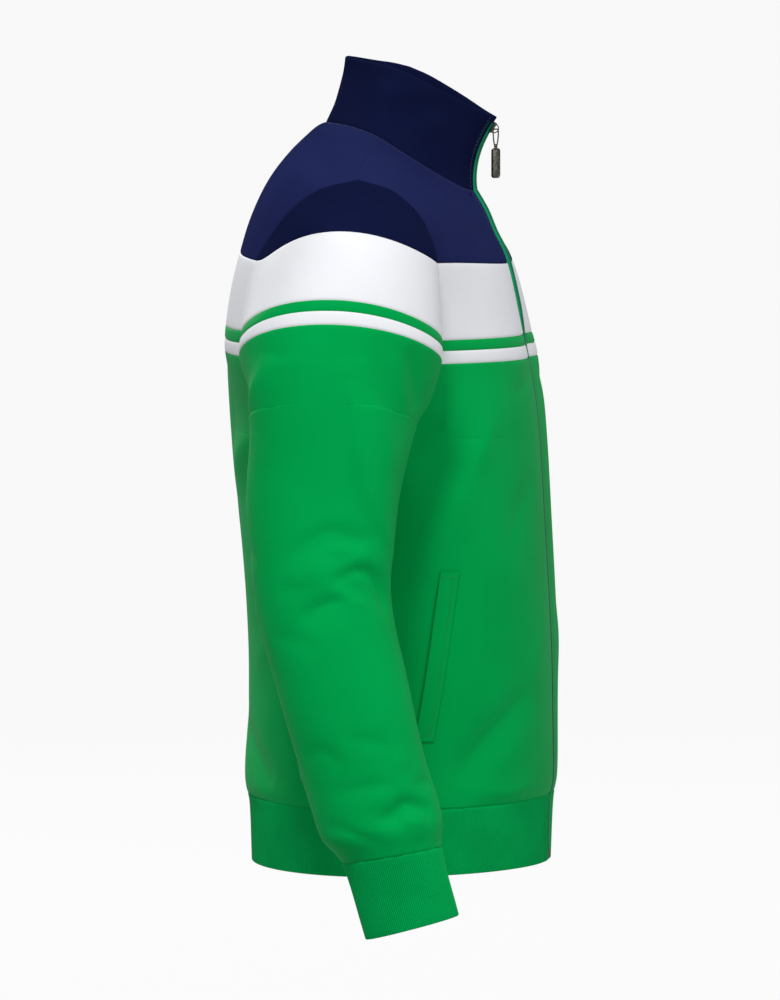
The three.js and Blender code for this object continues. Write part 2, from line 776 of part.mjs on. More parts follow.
function pointOnPanel(rows, across, level) {
  const onRow = (row) => {
    let run = 0;
    for (let column = 1; column < row.length; column += 1) {
      const step = row[column].distanceTo(row[column - 1]);
      if (run + step >= across) {
        return row[column - 1].clone().lerp(row[column], (across - run) / step);
      }
      run += step;
    }
    return row[row.length - 1];
  };
  const points = rows.map(onRow);
  const above = points.findIndex((point) => point.z >= level);
  const [low, high] = [points[above - 1], points[above]];
  return low.clone().lerp(high, (level - low.z) / (high.z - low.z));
}

function weltSheet(panel) {
  const rows = [];
  for (let step = 0; step <= pocket.steps; step += 1) {
    const t = 1 - step / pocket.steps;
    const level = THREE.MathUtils.lerp(pocket.top.level, pocket.foot.level, t);
    const near = THREE.MathUtils.lerp(pocket.top.near, pocket.foot.near, t);
    const far = THREE.MathUtils.lerp(pocket.top.far, pocket.foot.far, t);
    rows.push([near, (near + far) / 2, far].map((across) => pointOnPanel(panel, across, level)));
  }
  const outward = gridNormals(rows);
  const lift = weltLift + wall.welt;
  return rows.map((row, index) => row.map((point, column) => {
    return point.clone().addScaledVector(outward[index][column], lift);
  }));
}

function addWelts() {
  const rows = weltSheet(cut.front.between('hemSeam', 'mainTop'));
  const welts = [
    { name: 'pocket_welt_right', grids: [{ rows: mirrored(rows), flip: true }] },
    { name: 'pocket_welt_left', grids: [{ rows, flip: false }] },
  ];
  welts.forEach((welt) => {
    const sheet = { ...welt, thickness: wall.welt, inset: 0 };
    addMesh(sheet.name, wallOf(sheet, sharedNormals([sheet])), 'green');
  });
}

addWelts();

// Zip: it follows the front edge from the foot of the rib up to the collar's rim. Between the two levels
// of riseFrom and riseTo it comes to stand out in front of the edges, and stays so up to the top.
const zip = {
  tapeNear: 2.6, tapeFar: 5.7, tapeFront: -0.4, tapeBack: -1.4,
  chainHalf: 2.3, chainFront: 0.4, chainBack: -2.2,
  boxHeight: 8, boxHalf: 5.6, boxFront: 1, boxBack: -2.8,
  topMargin: 1.5, clear: 0.3, rise: 2.4, riseFrom: -195, riseTo: -150, tapeFarRise: 0.2,
};
const slider = {
  fromTop: 8, half: 4, height: 10, plate: 1, frontFace: 0.8, backFace: -2.6, postHalf: 1.9, postHeight: 2.6,
  archHalf: 0.7, archReach: 4, archWire: 1,
};
const pull = {
  yaw: 48, standOff: 1.8, wire: 0.65, drop: 15.3,
  barWidth: 9, barLength: 27, barThick: 3, barRound: 1.6, panelWidth: 5.6, panelLength: 19, panelDeep: 0.6,
  eyeHole: 1.1, eyeWire: 0.6, barTop: 1.5,
};

const frontLine = [
  ...cut.front.between('hemEdge', 'neckFoot').map((row) => row[0]),
  ...collar.slice(1).map((row) => row[0]),
].map((point) => vector(0, point.y, point.z));

function frontFrame(along) {
  let run = 0;
  for (let index = 1; index < frontLine.length; index += 1) {
    const step = frontLine[index].distanceTo(frontLine[index - 1]);
    if (run + step >= along || index === frontLine.length - 1) {
      const up = frontLine[index].clone().sub(frontLine[index - 1]).normalize();
      const point = frontLine[index - 1].clone().addScaledVector(up, along - run);
      return { point, up, out: vector(0, -up.z, up.y) };
    }
    run += step;
  }
  return null;
}

// Frames at every point of the front line between two lengths, and at both of them
function framesBetween(from, to) {
  const places = [from];
  let run = 0;
  for (let index = 1; index < frontLine.length; index += 1) {
    run += frontLine[index].distanceTo(frontLine[index - 1]);
    if (run > from + 1 && run < to - 1) {
      places.push(run);
    }
  }
  places.push(to);
  return places.map((place) => {
    const before = frontFrame(place - 0.01);
    const after = frontFrame(place + 0.01);
    return { point: before.point, out: before.out.add(after.out).normalize() };
  });
}

function riseAt(level) {
  return zip.rise * THREE.MathUtils.smoothstep(level, zip.riseFrom, zip.riseTo);
}

// A straight-sided strip along the front line, between two distances across and two depths.
// Each of its sides takes a share of the rise.
function stripGeometry(frames, left, right, front, back) {
  const corners = [[left, front], [right, front], [right, back], [left, back]];
  const points = frames.flatMap(({ point, out }) => corners.map(([side, depth]) => {
    return point.clone().addScaledVector(out, depth + side.rise * riseAt(point.z)).setX(side.x);
  }));
  const indices = [0, 2, 1, 0, 3, 2];
  for (let index = 0; index + 1 < frames.length; index += 1) {
    for (let corner = 0; corner < 4; corner += 1) {
      const a = index * 4 + corner;
      const b = index * 4 + ((corner + 1) % 4);
      indices.push(a, b, b + 4, a, b + 4, a + 4);
    }
  }
  const top = (frames.length - 1) * 4;
  indices.push(top, top + 1, top + 2, top, top + 2, top + 3);
  return geometryOf(points, indices);
}

const frontSteps = frontLine.slice(1).map((point, index) => point.distanceTo(frontLine[index]));
const frontLength = frontSteps.reduce((sum, step) => sum + step, 0);

function addZip() {
  const side = (x, rise) => ({ x, rise });
  const foot = zip.boxHeight + zip.clear;
  const tapeFrames = framesBetween(foot, frontLength - zip.topMargin);
  for (const [name, sign] of [['zip_tape_left', 1], ['zip_tape_right', -1]]) {
    const sides = [side(sign * zip.tapeNear, 1), side(sign * zip.tapeFar, zip.tapeFarRise)];
    const [left, right] = sign > 0 ? sides : sides.reverse();
    addMesh(name, stripGeometry(tapeFrames, left, right, zip.tapeFront, zip.tapeBack), 'zip');
  }
  const chainTop = frontLength - slider.fromTop + slider.height / 2 - slider.postHeight - zip.clear;
  const chainSides = [side(-zip.chainHalf, 1), side(zip.chainHalf, 1)];
  const chain = stripGeometry(framesBetween(foot, chainTop), ...chainSides, zip.chainFront, zip.chainBack);
  addMesh('zip_chain', chain, 'zip');
  const boxSides = [side(-zip.boxHalf, 0), side(zip.boxHalf, 0)];
  const box = stripGeometry(framesBetween(zip.clear, zip.boxHeight), ...boxSides, zip.boxFront, zip.boxBack);
  addMesh('zip_box', box, 'metal');
}

addZip();

// Solid joins and cuts
function solidOf(geometry) {
  const bare = new THREE.BufferGeometry();
  bare.setAttribute('position', geometry.attributes.position.clone());
  bare.setIndex(geometry.index ? geometry.index.clone() : null);
  const merged = mergeVertices(bare, 1e-4);
  return new wasm.Manifold(new wasm.Mesh({
    numProp: 3,
    vertProperties: merged.attributes.position.array,
    triVerts: new Uint32Array(merged.index.array),
  }));
}

function geometryOfSolid(solid) {
  const mesh = solid.getMesh();
  const geometry = new THREE.BufferGeometry();
  geometry.setAttribute('position', new THREE.BufferAttribute(new Float32Array(mesh.vertProperties), 3));
  geometry.setIndex([...mesh.triVerts]);
  return geometry;
}

function boxAt(width, depth, height, x, y, z) {
  return new THREE.BoxGeometry(width, depth, height).translate(x, y, z);
}

// Slider: a front and a back plate on a post, with a small arch for the pull. It is made facing -Y.
function sliderGeometry() {
  const middle = (slider.frontFace + slider.backFace) / 2;
  const deep = slider.frontFace - slider.backFace;
  const plates = [
    boxAt(slider.half * 2, slider.plate, slider.height, 0, -slider.frontFace - slider.plate / 2, 0),
    boxAt(slider.half * 2, slider.plate, slider.height, 0, -slider.backFace + slider.plate / 2, 0),
  ];
  const postMiddle = (slider.height - slider.postHeight) / 2;
  const post = boxAt(slider.postHalf * 2, deep + slider.plate, slider.postHeight, 0, -middle, postMiddle);
  const arch = new THREE.TorusGeometry(slider.archReach, slider.archWire / 2, 6, 20);
  arch.rotateY(Math.PI / 2).scale(slider.archHalf / (slider.archWire / 2), 1, 1);
  arch.translate(0, -slider.frontFace - slider.plate, 0);
  const wide = 4 * slider.archReach;
  const behind = boxAt(wide, wide, wide, 0, wide / 2 - slider.frontFace - slider.plate / 2, 0);
  const halfArch = solidOf(arch).subtract(solidOf(behind));
  return geometryOfSolid([...plates, post].map(solidOf).reduce((sum, solid) => sum.add(solid), halfArch));
}

// A closed loop of wire along a curve in the X-Z plane
function loopGeometry(curve, radius, steps, sides) {
  const points = [];
  for (let step = 0; step < steps; step += 1) {
    const centre = curve.getPointAt(step / steps);
    const along = curve.getTangentAt(step / steps);
    const across = vector(-along.z, 0, along.x);
    for (let side = 0; side < sides; side += 1) {
      const angle = (2 * Math.PI * side) / sides;
      const point = centre.clone().addScaledVector(across, radius * Math.cos(angle));
      point.y += radius * Math.sin(angle);
      points.push(point);
    }
  }
  const indices = [];
  for (let step = 0; step < steps; step += 1) {
    for (let side = 0; side < sides; side += 1) {
      const a = step * sides + side;
      const b = step * sides + ((side + 1) % sides);
      const c = ((step + 1) % steps) * sides + ((side + 1) % sides);
      const d = ((step + 1) % steps) * sides + side;
      indices.push(a, d, c, a, c, b);
    }
  }
  return geometryOf(points, indices);
}

// Teardrop link: its upper bar lies at the origin and it hangs down -Z
function linkGeometry() {
  const outline = table('x z', [
    [-1.9, 0], [1.9, 0], [2.8, -2], [2.5, -8], [1.5, -13.6], [0, -pull.drop],
    [-1.5, -13.6], [-2.5, -8], [-2.8, -2],
  ]);
  const points = outline.map(({ x, z }) => vector(x, 0, z));
  const curve = new THREE.CatmullRomCurve3(points, true, 'catmullrom', 0.6);
  return loopGeometry(curve, pull.wire, 28, 6);
}

// Pull bar: an eye at the origin and a flat bar with a sunk panel on both faces, hanging down -Z
function barGeometry() {
  const half = pull.barWidth / 2;
  const round = pull.barRound;
  const shape = new THREE.Shape();
  shape.moveTo(-half + round, 0);
  shape.lineTo(half - round, 0);
  shape.absarc(half - round, -round, round, Math.PI / 2, 0, true);
  shape.lineTo(half, -pull.barLength + round);
  shape.absarc(half - round, -pull.barLength + round, round, 0, -Math.PI / 2, true);
  shape.lineTo(-half + round, -pull.barLength);
  shape.absarc(-half + round, -pull.barLength + round, round, -Math.PI / 2, -Math.PI, true);
  shape.lineTo(-half, -round);
  shape.absarc(-half + round, -round, round, Math.PI, Math.PI / 2, true);
  const options = { depth: pull.barThick, bevelEnabled: false, curveSegments: 5 };
  const slab = new THREE.ExtrudeGeometry(shape, options);
  slab.rotateX(Math.PI / 2).translate(0, pull.barThick / 2, -pull.barTop);
  const eye = new THREE.TorusGeometry(pull.eyeHole + pull.eyeWire, pull.eyeWire, 6, 16).rotateY(Math.PI / 2);
  let solid = solidOf(slab).add(solidOf(eye));
  for (const side of [-1, 1]) {
    const y = side * (pull.barThick / 2);
    const middle = -pull.barTop - pull.barLength / 2;
    const sunk = boxAt(pull.panelWidth, pull.panelDeep * 2, pull.panelLength, 0, y, middle);
    solid = solid.subtract(solidOf(sunk));
  }
  return geometryOfSolid(solid);
}

function addSlider() {
  const frame = frontFrame(frontLength - slider.fromTop);
  const seat = frame.point.clone().addScaledVector(frame.out, riseAt(frame.point.z));
  const body = addMesh('zip_slider', sliderGeometry(), 'metal');
  body.position.copy(seat);
  body.rotation.x = Math.atan2(-frame.up.y, frame.up.z);
  const hinge = seat.clone().addScaledVector(frame.out, slider.frontFace + slider.plate + pull.standOff);
  const link = addMesh('pull_link', linkGeometry(), 'metal');
  const bar = addMesh('pull_bar', barGeometry(), 'metal');
  const yaw = THREE.MathUtils.degToRad(-pull.yaw);
  link.rotation.z = yaw;
  bar.rotation.z = yaw;
  link.position.copy(hinge);
  bar.position.copy(hinge).add(vector(0, 0, -pull.drop));
}

addSlider();

export default jacket;
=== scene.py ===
import bmesh
import bpy
import numpy as np
from mathutils import Matrix, Vector


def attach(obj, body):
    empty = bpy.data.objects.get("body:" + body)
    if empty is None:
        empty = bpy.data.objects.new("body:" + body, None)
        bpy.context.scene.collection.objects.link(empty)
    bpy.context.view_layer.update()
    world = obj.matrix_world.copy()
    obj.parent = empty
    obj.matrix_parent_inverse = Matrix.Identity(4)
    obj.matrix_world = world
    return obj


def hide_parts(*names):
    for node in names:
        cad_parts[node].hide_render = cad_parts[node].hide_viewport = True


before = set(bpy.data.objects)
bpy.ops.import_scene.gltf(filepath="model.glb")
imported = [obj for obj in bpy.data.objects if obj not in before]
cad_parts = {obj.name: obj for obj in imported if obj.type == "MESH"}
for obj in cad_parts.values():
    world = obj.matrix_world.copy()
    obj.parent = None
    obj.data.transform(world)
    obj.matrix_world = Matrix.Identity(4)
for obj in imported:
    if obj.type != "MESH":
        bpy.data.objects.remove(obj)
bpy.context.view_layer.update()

# A track jacket filled out as when worn. Sizes are in mm in the tables and in metres in the meshes.
MM = 0.001

# Edges of one half of the jacket in mm, with x counted outward from the middle, as in the solids
NECK_POINT = (78, 0, 0)
SHOULDER_POINT = (212, 3, -36)
ARMPIT = (190, 14, -265)


def smooth_curve(points, steps):
    """Points of a smooth curve that goes through the given ones, with steps between each two."""
    given = np.array(points, float)
    before = 2 * given[0] - given[1]
    after = 2 * given[-1] - given[-2]
    padded = np.vstack([before, given, after])
    t = np.linspace(0, 1, steps, endpoint=False)[:, None]
    pieces = []
    for index in range(1, len(padded) - 2):
        start, end = padded[index], padded[index + 1]
        leave = (end - padded[index - 1]) / 2
        reach = (padded[index + 2] - start) / 2
        square = -3 * start + 3 * end - 2 * leave - reach
        cube = 2 * start - 2 * end + leave + reach
        pieces.append(start + leave * t + square * t**2 + cube * t**3)
    return np.vstack(pieces + [given[-1:]])


class Edge:
    """An edge of a panel, read by the share of its length."""

    def __init__(self, *points):
        self.points = smooth_curve(points, 50)
        steps = np.linalg.norm(np.diff(self.points, axis=0), axis=1)
        run = np.concatenate([[0], np.cumsum(steps)])
        self.length = run[-1]
        self.shares = run / run[-1]

    def at(self, share):
        return np.stack([np.interp(share, self.shares, column) for column in self.points.T], axis=-1)

    def share_at(self, level):
        heights = self.points[:, 2]
        if heights[-1] > heights[0]:
            return float(np.interp(level, heights, self.shares))
        return float(np.interp(-level, -heights, self.shares))


EDGES = {
    "centre_front": Edge(
        (6.5, -144, -651), (6.5, -145, -600), (6.5, -148.5, -575), (6.5, -148, -520),
        (6.5, -146.5, -454), (6.5, -141.5, -364), (6.5, -134, -251), (6.5, -121, -177.5),
        (6.5, -107, -114), (6.5, -94.2, -85), (6.5, -86.6, -67), (6.5, -76.2, -49)),
    "centre_back": Edge(
        (0, 124, -651), (0, 125.5, -600), (0, 130, -572), (0, 126, -490), (0, 128, -418),
        (0, 135, -328), (0, 140.5, -238), (0, 142, -185), (0, 137, -139), (0, 128, -103),
        (0, 116.5, -67), (0, 97, -31), (0, 77, -6), (0, 58.5, 12)),
    "side": Edge(
        (169, 1, -653), (172, 2, -603), (177.5, 3, -575), (180, 4, -508), (180, 6, -418),
        (184, 10, -328), ARMPIT),
    "armhole_front": Edge(
        ARMPIT, (190.5, -4, -261.5), (190, -23, -254), (188, -37, -242), (184, -48, -223),
        (180, -57, -199.4), (179, -61.5, -178.5), (182, -64.5, -142), (187, -65, -110),
        (192, -60.5, -89), (198, -52.5, -70), (204, -41, -56), (209, -24, -44), SHOULDER_POINT),
    "armhole_back": Edge(
        ARMPIT, (190.5, 38, -261.5), (190, 61, -252), (188.5, 84.5, -233), (186.5, 100, -213),
        (185.5, 107, -191), (185, 108.5, -168), (187, 104, -137), (190, 96, -108),
        (197, 81, -84), (203, 63, -62.5), (209.5, 37, -44.5), SHOULDER_POINT),
    "neck_front": Edge((6.5, -76.2, -49), (36, -66, -43.5), (63, -36, -24), NECK_POINT),
    "neck_back": Edge((0, 58.5, 12), (30, 52, 12.5), (56, 33, 10.5), (71.5, 15, 6), NECK_POINT),
    "collar_front": Edge(
        (6.5, -95, 15.5), (22, -82.5, 22), (40, -65.5, 32), (55, -47.5, 42), (63.5, -27, 53),
        (65, -9.5, 60.5)),
    "collar_back": Edge((0, 39.5, 70.5), (28, 36.5, 69.5), (50, 20, 66.3), (61, 5, 64), (65, -9.5, 60.5)),
    "outer_arm": Edge(
        SHOULDER_POINT, (242, 6, -53), (268, 11, -80), (284, 14.5, -108), (297, 18, -139),
        (304, 19, -165), (310, 20.5, -200), (315, 23, -250), (321, 27.5, -325), (331, 23.5, -404),
        (336, 6.5, -474), (339, -11.5, -541), (341, -23, -578), (342, -29.5, -600),
        (334, -37.5, -620), (329, -46.5, -652), (327, -55.5, -684)),
    "under_arm": Edge(
        ARMPIT, (203, 21, -290), (219, 26.5, -330), (236, 23.5, -404), (246, 6.5, -474),
        (253, -11.5, -541), (256, -23, -578), (255, -29.5, -600), (262, -37.5, -620),
        (266, -46.5, -652), (267, -55.5, -684)),
}

# Lines round the body, from the hem up: levels at the middle and at the side seam or armhole
LINE_NAMES = (
    "hem_edge", "hem_seam", "waist", "armpit", "main_top", "stripe_top", "band_foot", "band_top",
    "neck_foot", "shoulder",
)
LINE = {name: place for place, name in enumerate(LINE_NAMES)}
LEVELS = {
    "front_middle": (-651, -591, -430, -268, -198.5, -187, -177.5, -114, -49, 0),
    "front_side": (-653, -595, -432, -265, -199.4, -188, -178.5, -110, -80, -36),
    "back_middle": (-651, -590, -430, -262, -189, -177, -165, -98, 12, 0),
    "back_side": (-653, -595, -432, -265, -193, -181, -170, -108, -56, -36),
}

# How each line leaves the middle and reaches the side: middle x, y, z and side x, y, z
HANDLES = {
    "front": (
        (88, 0, 0, 0, -82, 0), (98, -5, 0, 0, -86, 0), (108, -12, 0, 0, -90, 0), (106, -15, 0, 0, -88, 0),
        (84, -15, 0, -42, -42, 0), (82, -14, 0, -43, -40, 0), (80, -12, 0, -44, -37, 0),
        (64, -3, 0, -50, -24, 0), (52, 8, -9, -54, -12, 6), (45, -1, -9, -43, 0, 15)),
    "back": (
        (88, 0, 0, 0, 70, 0), (98, 0, 0, 0, 72, 0), (106, 0, 0, 0, 72, 0), (108, 0, 0, 0, 74, 0),
        (86, 0, 0, -42, 28, 0), (85, 0, 0, -42, 27, 0), (84, 0, 0, -42, 26, 0),
        (76, 0, -3, -46, 28, 4), (48, 10, -2, -50, 36, 20), (45, -1, -9, -43, 0, 15)),
}

# Lines round the arm above the armpit: outer level, then the handles of the front and the back arc
ARM_LINES = {
    "armpit": (-229, 0, -96, -92, 0, 92, 94),
    "main_top": (-160.3, 46, -39, -80, 48, 6, 78),
    "stripe_top": (-148.5, 46, -34, -76, 46, 2, 74),
    "band_foot": (-139, 46, -30, -72, 44, -2, 70),
    "band_top": (-80, 36, -8, -50, 34, -16, 50),
    "neck_foot": (-55, 20, 0, -30, 20, -12, 26),
    "shoulder": (-36, 0, 0, 0, 0, 0, 0),
}

# Rings of the sleeve below the armpit: outer level, under level, half width from front to back, lean
RING_NAMES = "armpit bicep elbow forearm wrist blouse cuff_seam cuff_edge".split()
RING = {name: place for place, name in enumerate(RING_NAMES)}
RINGS = (
    (-229, -265, 71.5, 0), (-310, -328, 66.5, 0), (-404, -404, 59.5, -0.04), (-474, -474, 57, -0.09),
    (-541, -541, 54, -0.14), (-598, -598, 53, -0.17), (-621.5, -621.5, 43.5, -0.18),
    (-684, -684, 40.5, -0.27),
)


def smooth_values(places, values, wanted):
    """Values between the rows of a table: cubic, with slopes from the neighbours."""
    places = np.array(places, float)
    values = np.array(values, float)
    last = len(places) - 1
    after = np.minimum(np.arange(last + 1) + 1, last)
    before = np.maximum(np.arange(last + 1) - 1, 0)
    slopes = (values[after] - values[before]) / (places[after] - places[before])[:, None]
    cell = np.clip(np.searchsorted(places, wanted) - 1, 0, last - 1)
    span = places[cell + 1] - places[cell]
    t = np.clip((wanted - places[cell]) / span, 0, 1)[:, None]
    span = span[:, None]
    rise = t * t * (3 - 2 * t)
    bend = t * (1 - t) ** 2 * span * slopes[cell] + t * t * (t - 1) * span * slopes[cell + 1]
    return values[cell] + (values[cell + 1] - values[cell]) * rise + bend


def bezier_rows(start, start_handle, end_handle, end, shares):
    """One row for each start point, with a point at each share of its curve."""
    t = shares[None, :, None]
    s = 1 - t
    start, end = start[:, None], end[:, None]
    first = start + start_handle[:, None]
    second = end + end_handle[:, None]
    return s**3 * start + 3 * s * s * t * first + 3 * s * t * t * second + t**3 * end


def between(start, end, t):
    return start + (end - start) * t


def body_grid(part, places, across):
    """Points of one half of a panel. A place is a line's number and the share to the next one."""
    centre, neck = EDGES["centre_" + part], EDGES["neck_" + part]
    side, armhole = EDGES["side"], EDGES["armhole_" + part]
    middle_levels, side_levels = LEVELS[part + "_middle"], LEVELS[part + "_side"]
    armpit, top = LINE["armpit"], LINE["shoulder"]
    line = np.minimum(places.astype(int), top - 1)
    t = places - line
    middle_shares = np.array([centre.share_at(level) for level in middle_levels])
    middle_shares[top] = 1
    on_neck = line == top - 1
    centre_points = centre.at(between(middle_shares[line], middle_shares[line + 1], t))
    middle = np.where(on_neck[:, None], neck.at(t), centre_points)
    side_shares = np.array([side.share_at(level) for level in side_levels[:armpit]] + [1.0])
    hole_levels = side_levels[armpit + 1 : top]
    hole_shares = np.array([0.0] + [armhole.share_at(level) for level in hole_levels] + [1.0])
    low = np.minimum(line, armpit - 1)
    high = np.maximum(line - armpit, 0)
    side_points = side.at(between(side_shares[low], side_shares[low + 1], t))
    hole_points = armhole.at(between(hole_shares[high], hole_shares[high + 1], t))
    reach = np.where((line < armpit)[:, None], side_points, hole_points)
    line_points = np.vstack([side.at(side_shares[:armpit]), armhole.at(hole_shares)])
    runs = np.concatenate([[0], np.cumsum(np.linalg.norm(np.diff(line_points, axis=0), axis=1))])
    run = between(runs[line], runs[line + 1], t)
    handles = np.array(HANDLES[part], float)
    handles[:, 3:] += line_points
    read = smooth_values(runs, handles, run)
    return bezier_rows(middle, read[:, :3], read[:, 3:] - reach, reach, across)


def arm_rows(front, front_handle, front_meet, outer, back_meet, back_handle, back, lean, across):
    """Rows from the front of the armhole over the outer side to its back."""
    nothing = np.zeros(len(outer))
    meet_front = np.stack([nothing, front_meet, nothing], axis=1)
    meet_back = np.stack([nothing, back_meet, nothing], axis=1)
    first = bezier_rows(front, front_handle, meet_front, outer, across)
    second = bezier_rows(outer, meet_back, back_handle, back, 1 - across[::-1])
    rows = np.concatenate([first, second[:, 1:]], axis=1)
    rows[:, :, 2] += lean[:, None] * (rows[:, :, 1] - outer[:, None, 1])
    return rows


def cap_grid(places, across):
    """Rows of the sleeve above the armpit, at the same places as the body's lines."""
    armpit, top = LINE["armpit"], LINE["shoulder"]
    line = np.minimum(places.astype(int), top - 1)
    t = places - line
    arm = EDGES["outer_arm"]
    values = np.array([ARM_LINES[name] for name in LINE_NAMES[armpit:]], float)
    outer_shares = np.array([arm.share_at(level) for level in values[:, 0]])
    outer_places = -outer_shares
    share = between(outer_shares[line - armpit], outer_shares[line - armpit + 1], t)
    ends, handles = [], []
    for part, first in (("front", 1), ("back", 4)):
        armhole = EDGES["armhole_" + part]
        levels = LEVELS[part + "_side"][armpit + 1 : top]
        shares = np.array([0.0] + [armhole.share_at(level) for level in levels] + [1.0])
        end = armhole.at(between(shares[line - armpit], shares[line - armpit + 1], t))
        reaches = armhole.at(shares) + np.pad(values[:, first : first + 2], ((0, 0), (0, 1)))
        ends.append(end)
        handles.append(smooth_values(outer_places, reaches, -share) - end)
    meets = smooth_values(outer_places, values[:, [3, 6]], -share)
    return arm_rows(ends[0], handles[0], meets[:, 0], arm.at(share), meets[:, 1], handles[1], ends[1],
                    np.zeros(len(places)), across)


def ring_grid(places, across):
    """Rows of the sleeve from the armpit down to the cuff's edge."""
    rings = np.array(RINGS, float)
    line = np.minimum(places.astype(int), len(rings) - 2)
    t = places - line
    outer_shares = np.array([EDGES["outer_arm"].share_at(level) for level in rings[:, 0]])
    under_shares = np.array([EDGES["under_arm"].share_at(level) for level in rings[:, 1]])
    under_shares[0] = 0
    outer = EDGES["outer_arm"].at(between(outer_shares[line], outer_shares[line + 1], t))
    under = EDGES["under_arm"].at(between(under_shares[line], under_shares[line + 1], t))
    run = between(-rings[line, 0], -rings[line + 1, 0], t)
    read = smooth_values(-rings[:, 0], rings[:, 2:], run)
    reach = read[:, 0] * 4 / 3
    forward = np.stack([0 * reach, -reach, 0 * reach], axis=1)
    return arm_rows(under, forward, -reach, outer, reach, -forward, under, read[:, 1], across)


def collar_grid(levels, across):
    """Rows of one half of the collar from its seam up to its rim, from the front edge round to the back."""
    seam_edges = (EDGES["neck_front"], EDGES["neck_back"])
    rim_edges = (EDGES["collar_front"], EDGES["collar_back"])
    split = seam_edges[0].length / sum(edge.length for edge in seam_edges)
    rim_split = rim_edges[0].length / sum(edge.length for edge in rim_edges)

    def along(pair, place, share):
        first = pair[0].at(np.minimum(share / place, 1))
        second = pair[1].at(np.clip(1 - (share - place) / (1 - place), 0, 1))
        return np.where((share < place)[:, None], first, second)

    seam = along(seam_edges, split, across)
    rim = along(rim_edges, rim_split, across)
    out = rim * (1, 1, 0) + (0, COLLAR_LEAN, 0)
    out /= np.linalg.norm(out, axis=1)[:, None]
    from_front = np.clip(across / COLLAR_HOLLOW["front_share"], 0, 1)
    from_front = from_front**2 * (3 - 2 * from_front)
    hollow = between(COLLAR_HOLLOW["front"], COLLAR_HOLLOW["back"], from_front)[None, :, None]
    t = levels[:, None, None]
    return between(seam[None], rim[None], t) - 4 * hollow * t * (1 - t) * out[None]


COLLAR_HOLLOW = {"front": 7, "back": 3, "front_share": 0.4}
COLLAR_LEAN = 10


def grid_normals(grid):
    """Unit normals of a grid of points, by the points on both sides of each."""
    up = np.gradient(grid, axis=0)
    across = np.gradient(grid, axis=1)
    normals = np.cross(across, up)
    size = np.linalg.norm(normals, axis=2, keepdims=True)
    fallback = np.array([0.0, 0.0, 1.0])
    return np.where(size > 1e-9, normals / np.maximum(size, 1e-9), fallback)


def runs_along(grid, axis):
    """Length along each row (axis 1) or each column (axis 0) of a grid."""
    steps = np.linalg.norm(np.diff(grid, axis=axis), axis=2)
    start = np.zeros_like(np.take(steps, [0], axis=axis))
    return np.concatenate([start, np.cumsum(steps, axis=axis)], axis=axis)

# Finish of the cloth's form, in mm
ROW_STEP = 3.6
NEAR_SEAM = (0.5, 1.1, 2.0)
SEAM = {"depth": 0.8, "width": 0.9}
ZONE_LENGTHS = (60, 163, 165, 72, 12, 11, 64, 60, 90)
RING_LENGTHS = (82, 94, 71, 68, 58, 24, 63)
HALF_WIDTH = 280
HALF_ARM = 180
ARM_RADIUS = 52
ARM_TURN = 2 * np.pi * ARM_RADIUS
EASE = 14
TOPSTITCH = 5
CREASE_SHARE = 1.35
# Size and reach of the puckers beside a seam
PUCKER = {"fine": (0.05, 5), "hem": (0.16, 5), "side": (0.08, 6), "armhole": (0.1, 7), "cuff": (0.3, 9),
          "collar": (0.1, 6)}
# Depth and width of the grooves that differ from a plain seam
SIDE_GROOVE = {"armhole": 1.1, "below": 0.5, "width": 1.2}
SLEEVE_GROOVE = {"armhole": 0.7, "below": 0.5, "width": 1.2}
NECK_GROOVE = {"depth": 0.35, "width": 1.0}
STITCH_GROOVE = {"depth": 0.3, "width": 0.9}
RIB_GROOVE = {"depth": 0.35, "width": 0.7}
RIB_GROOVE_PLACE = 5.5
COLLAR_GROOVE = {"depth": 0.35, "width": 0.9}
FOLD_TOP = {"body": -150, "arm": -190}
FOLD_FOOT = {"body": -592, "arm": -612}


def steps_between(length, step, near_start=True, near_end=True):
    """Distances from 0 to a length, closer together at the ends that lie on a seam."""
    start = [0, *NEAR_SEAM] if near_start else [0]
    end = [length - distance for distance in reversed(NEAR_SEAM)] + [length] if near_end else [length]
    count = max(int(round((end[0] - start[-1]) / step)), 1)
    middle = np.linspace(start[-1], end[0], count + 1)[1:-1]
    return np.array([*start, *middle, *end])


def places_between(first, last, lengths, step=ROW_STEP):
    places = [float(first)]
    for zone in range(first, last):
        steps = steps_between(lengths[zone], step)
        places.extend(zone + steps[1:] / lengths[zone])
    return np.array(places)


# Large folds, as in the solids: place and level of both ends, depth and width.
# Round the arm the place is an angle: 0 outer, 90 front, -90 back. On the body it is mm from the middle.
ARM_FOLDS = (
    (20, -205, 78, -358, 4.5, 15), (-23, -364, 53, -348, -3.5, 13), (-14, -378, 52, -362, 2.5, 12),
    (22, -380, 73, -402, -4.5, 12), (-18, -418, 33, -400, -3, 13), (-42, -190, -79, -250, 4, 15),
    (4, -590, 69, -578, -3.5, 12), (150, -300, 110, -380, -4, 16), (-150, -430, 150, -470, -5, 16),
)
FRONT_FOLDS = (
    (123, -248, 207, -395, 3.5, 22), (86, -495, 174, -572, -3.5, 18), (150, -300, 235, -275, -4, 18),
)
BACK_FOLDS = (
    (60, -300, 190, -240, 4, 22), (30, -520, 140, -575, -4, 18), (120, -420, 215, -350, -3.5, 20),
    (20, -180, 30, -330, 3, 24),
)

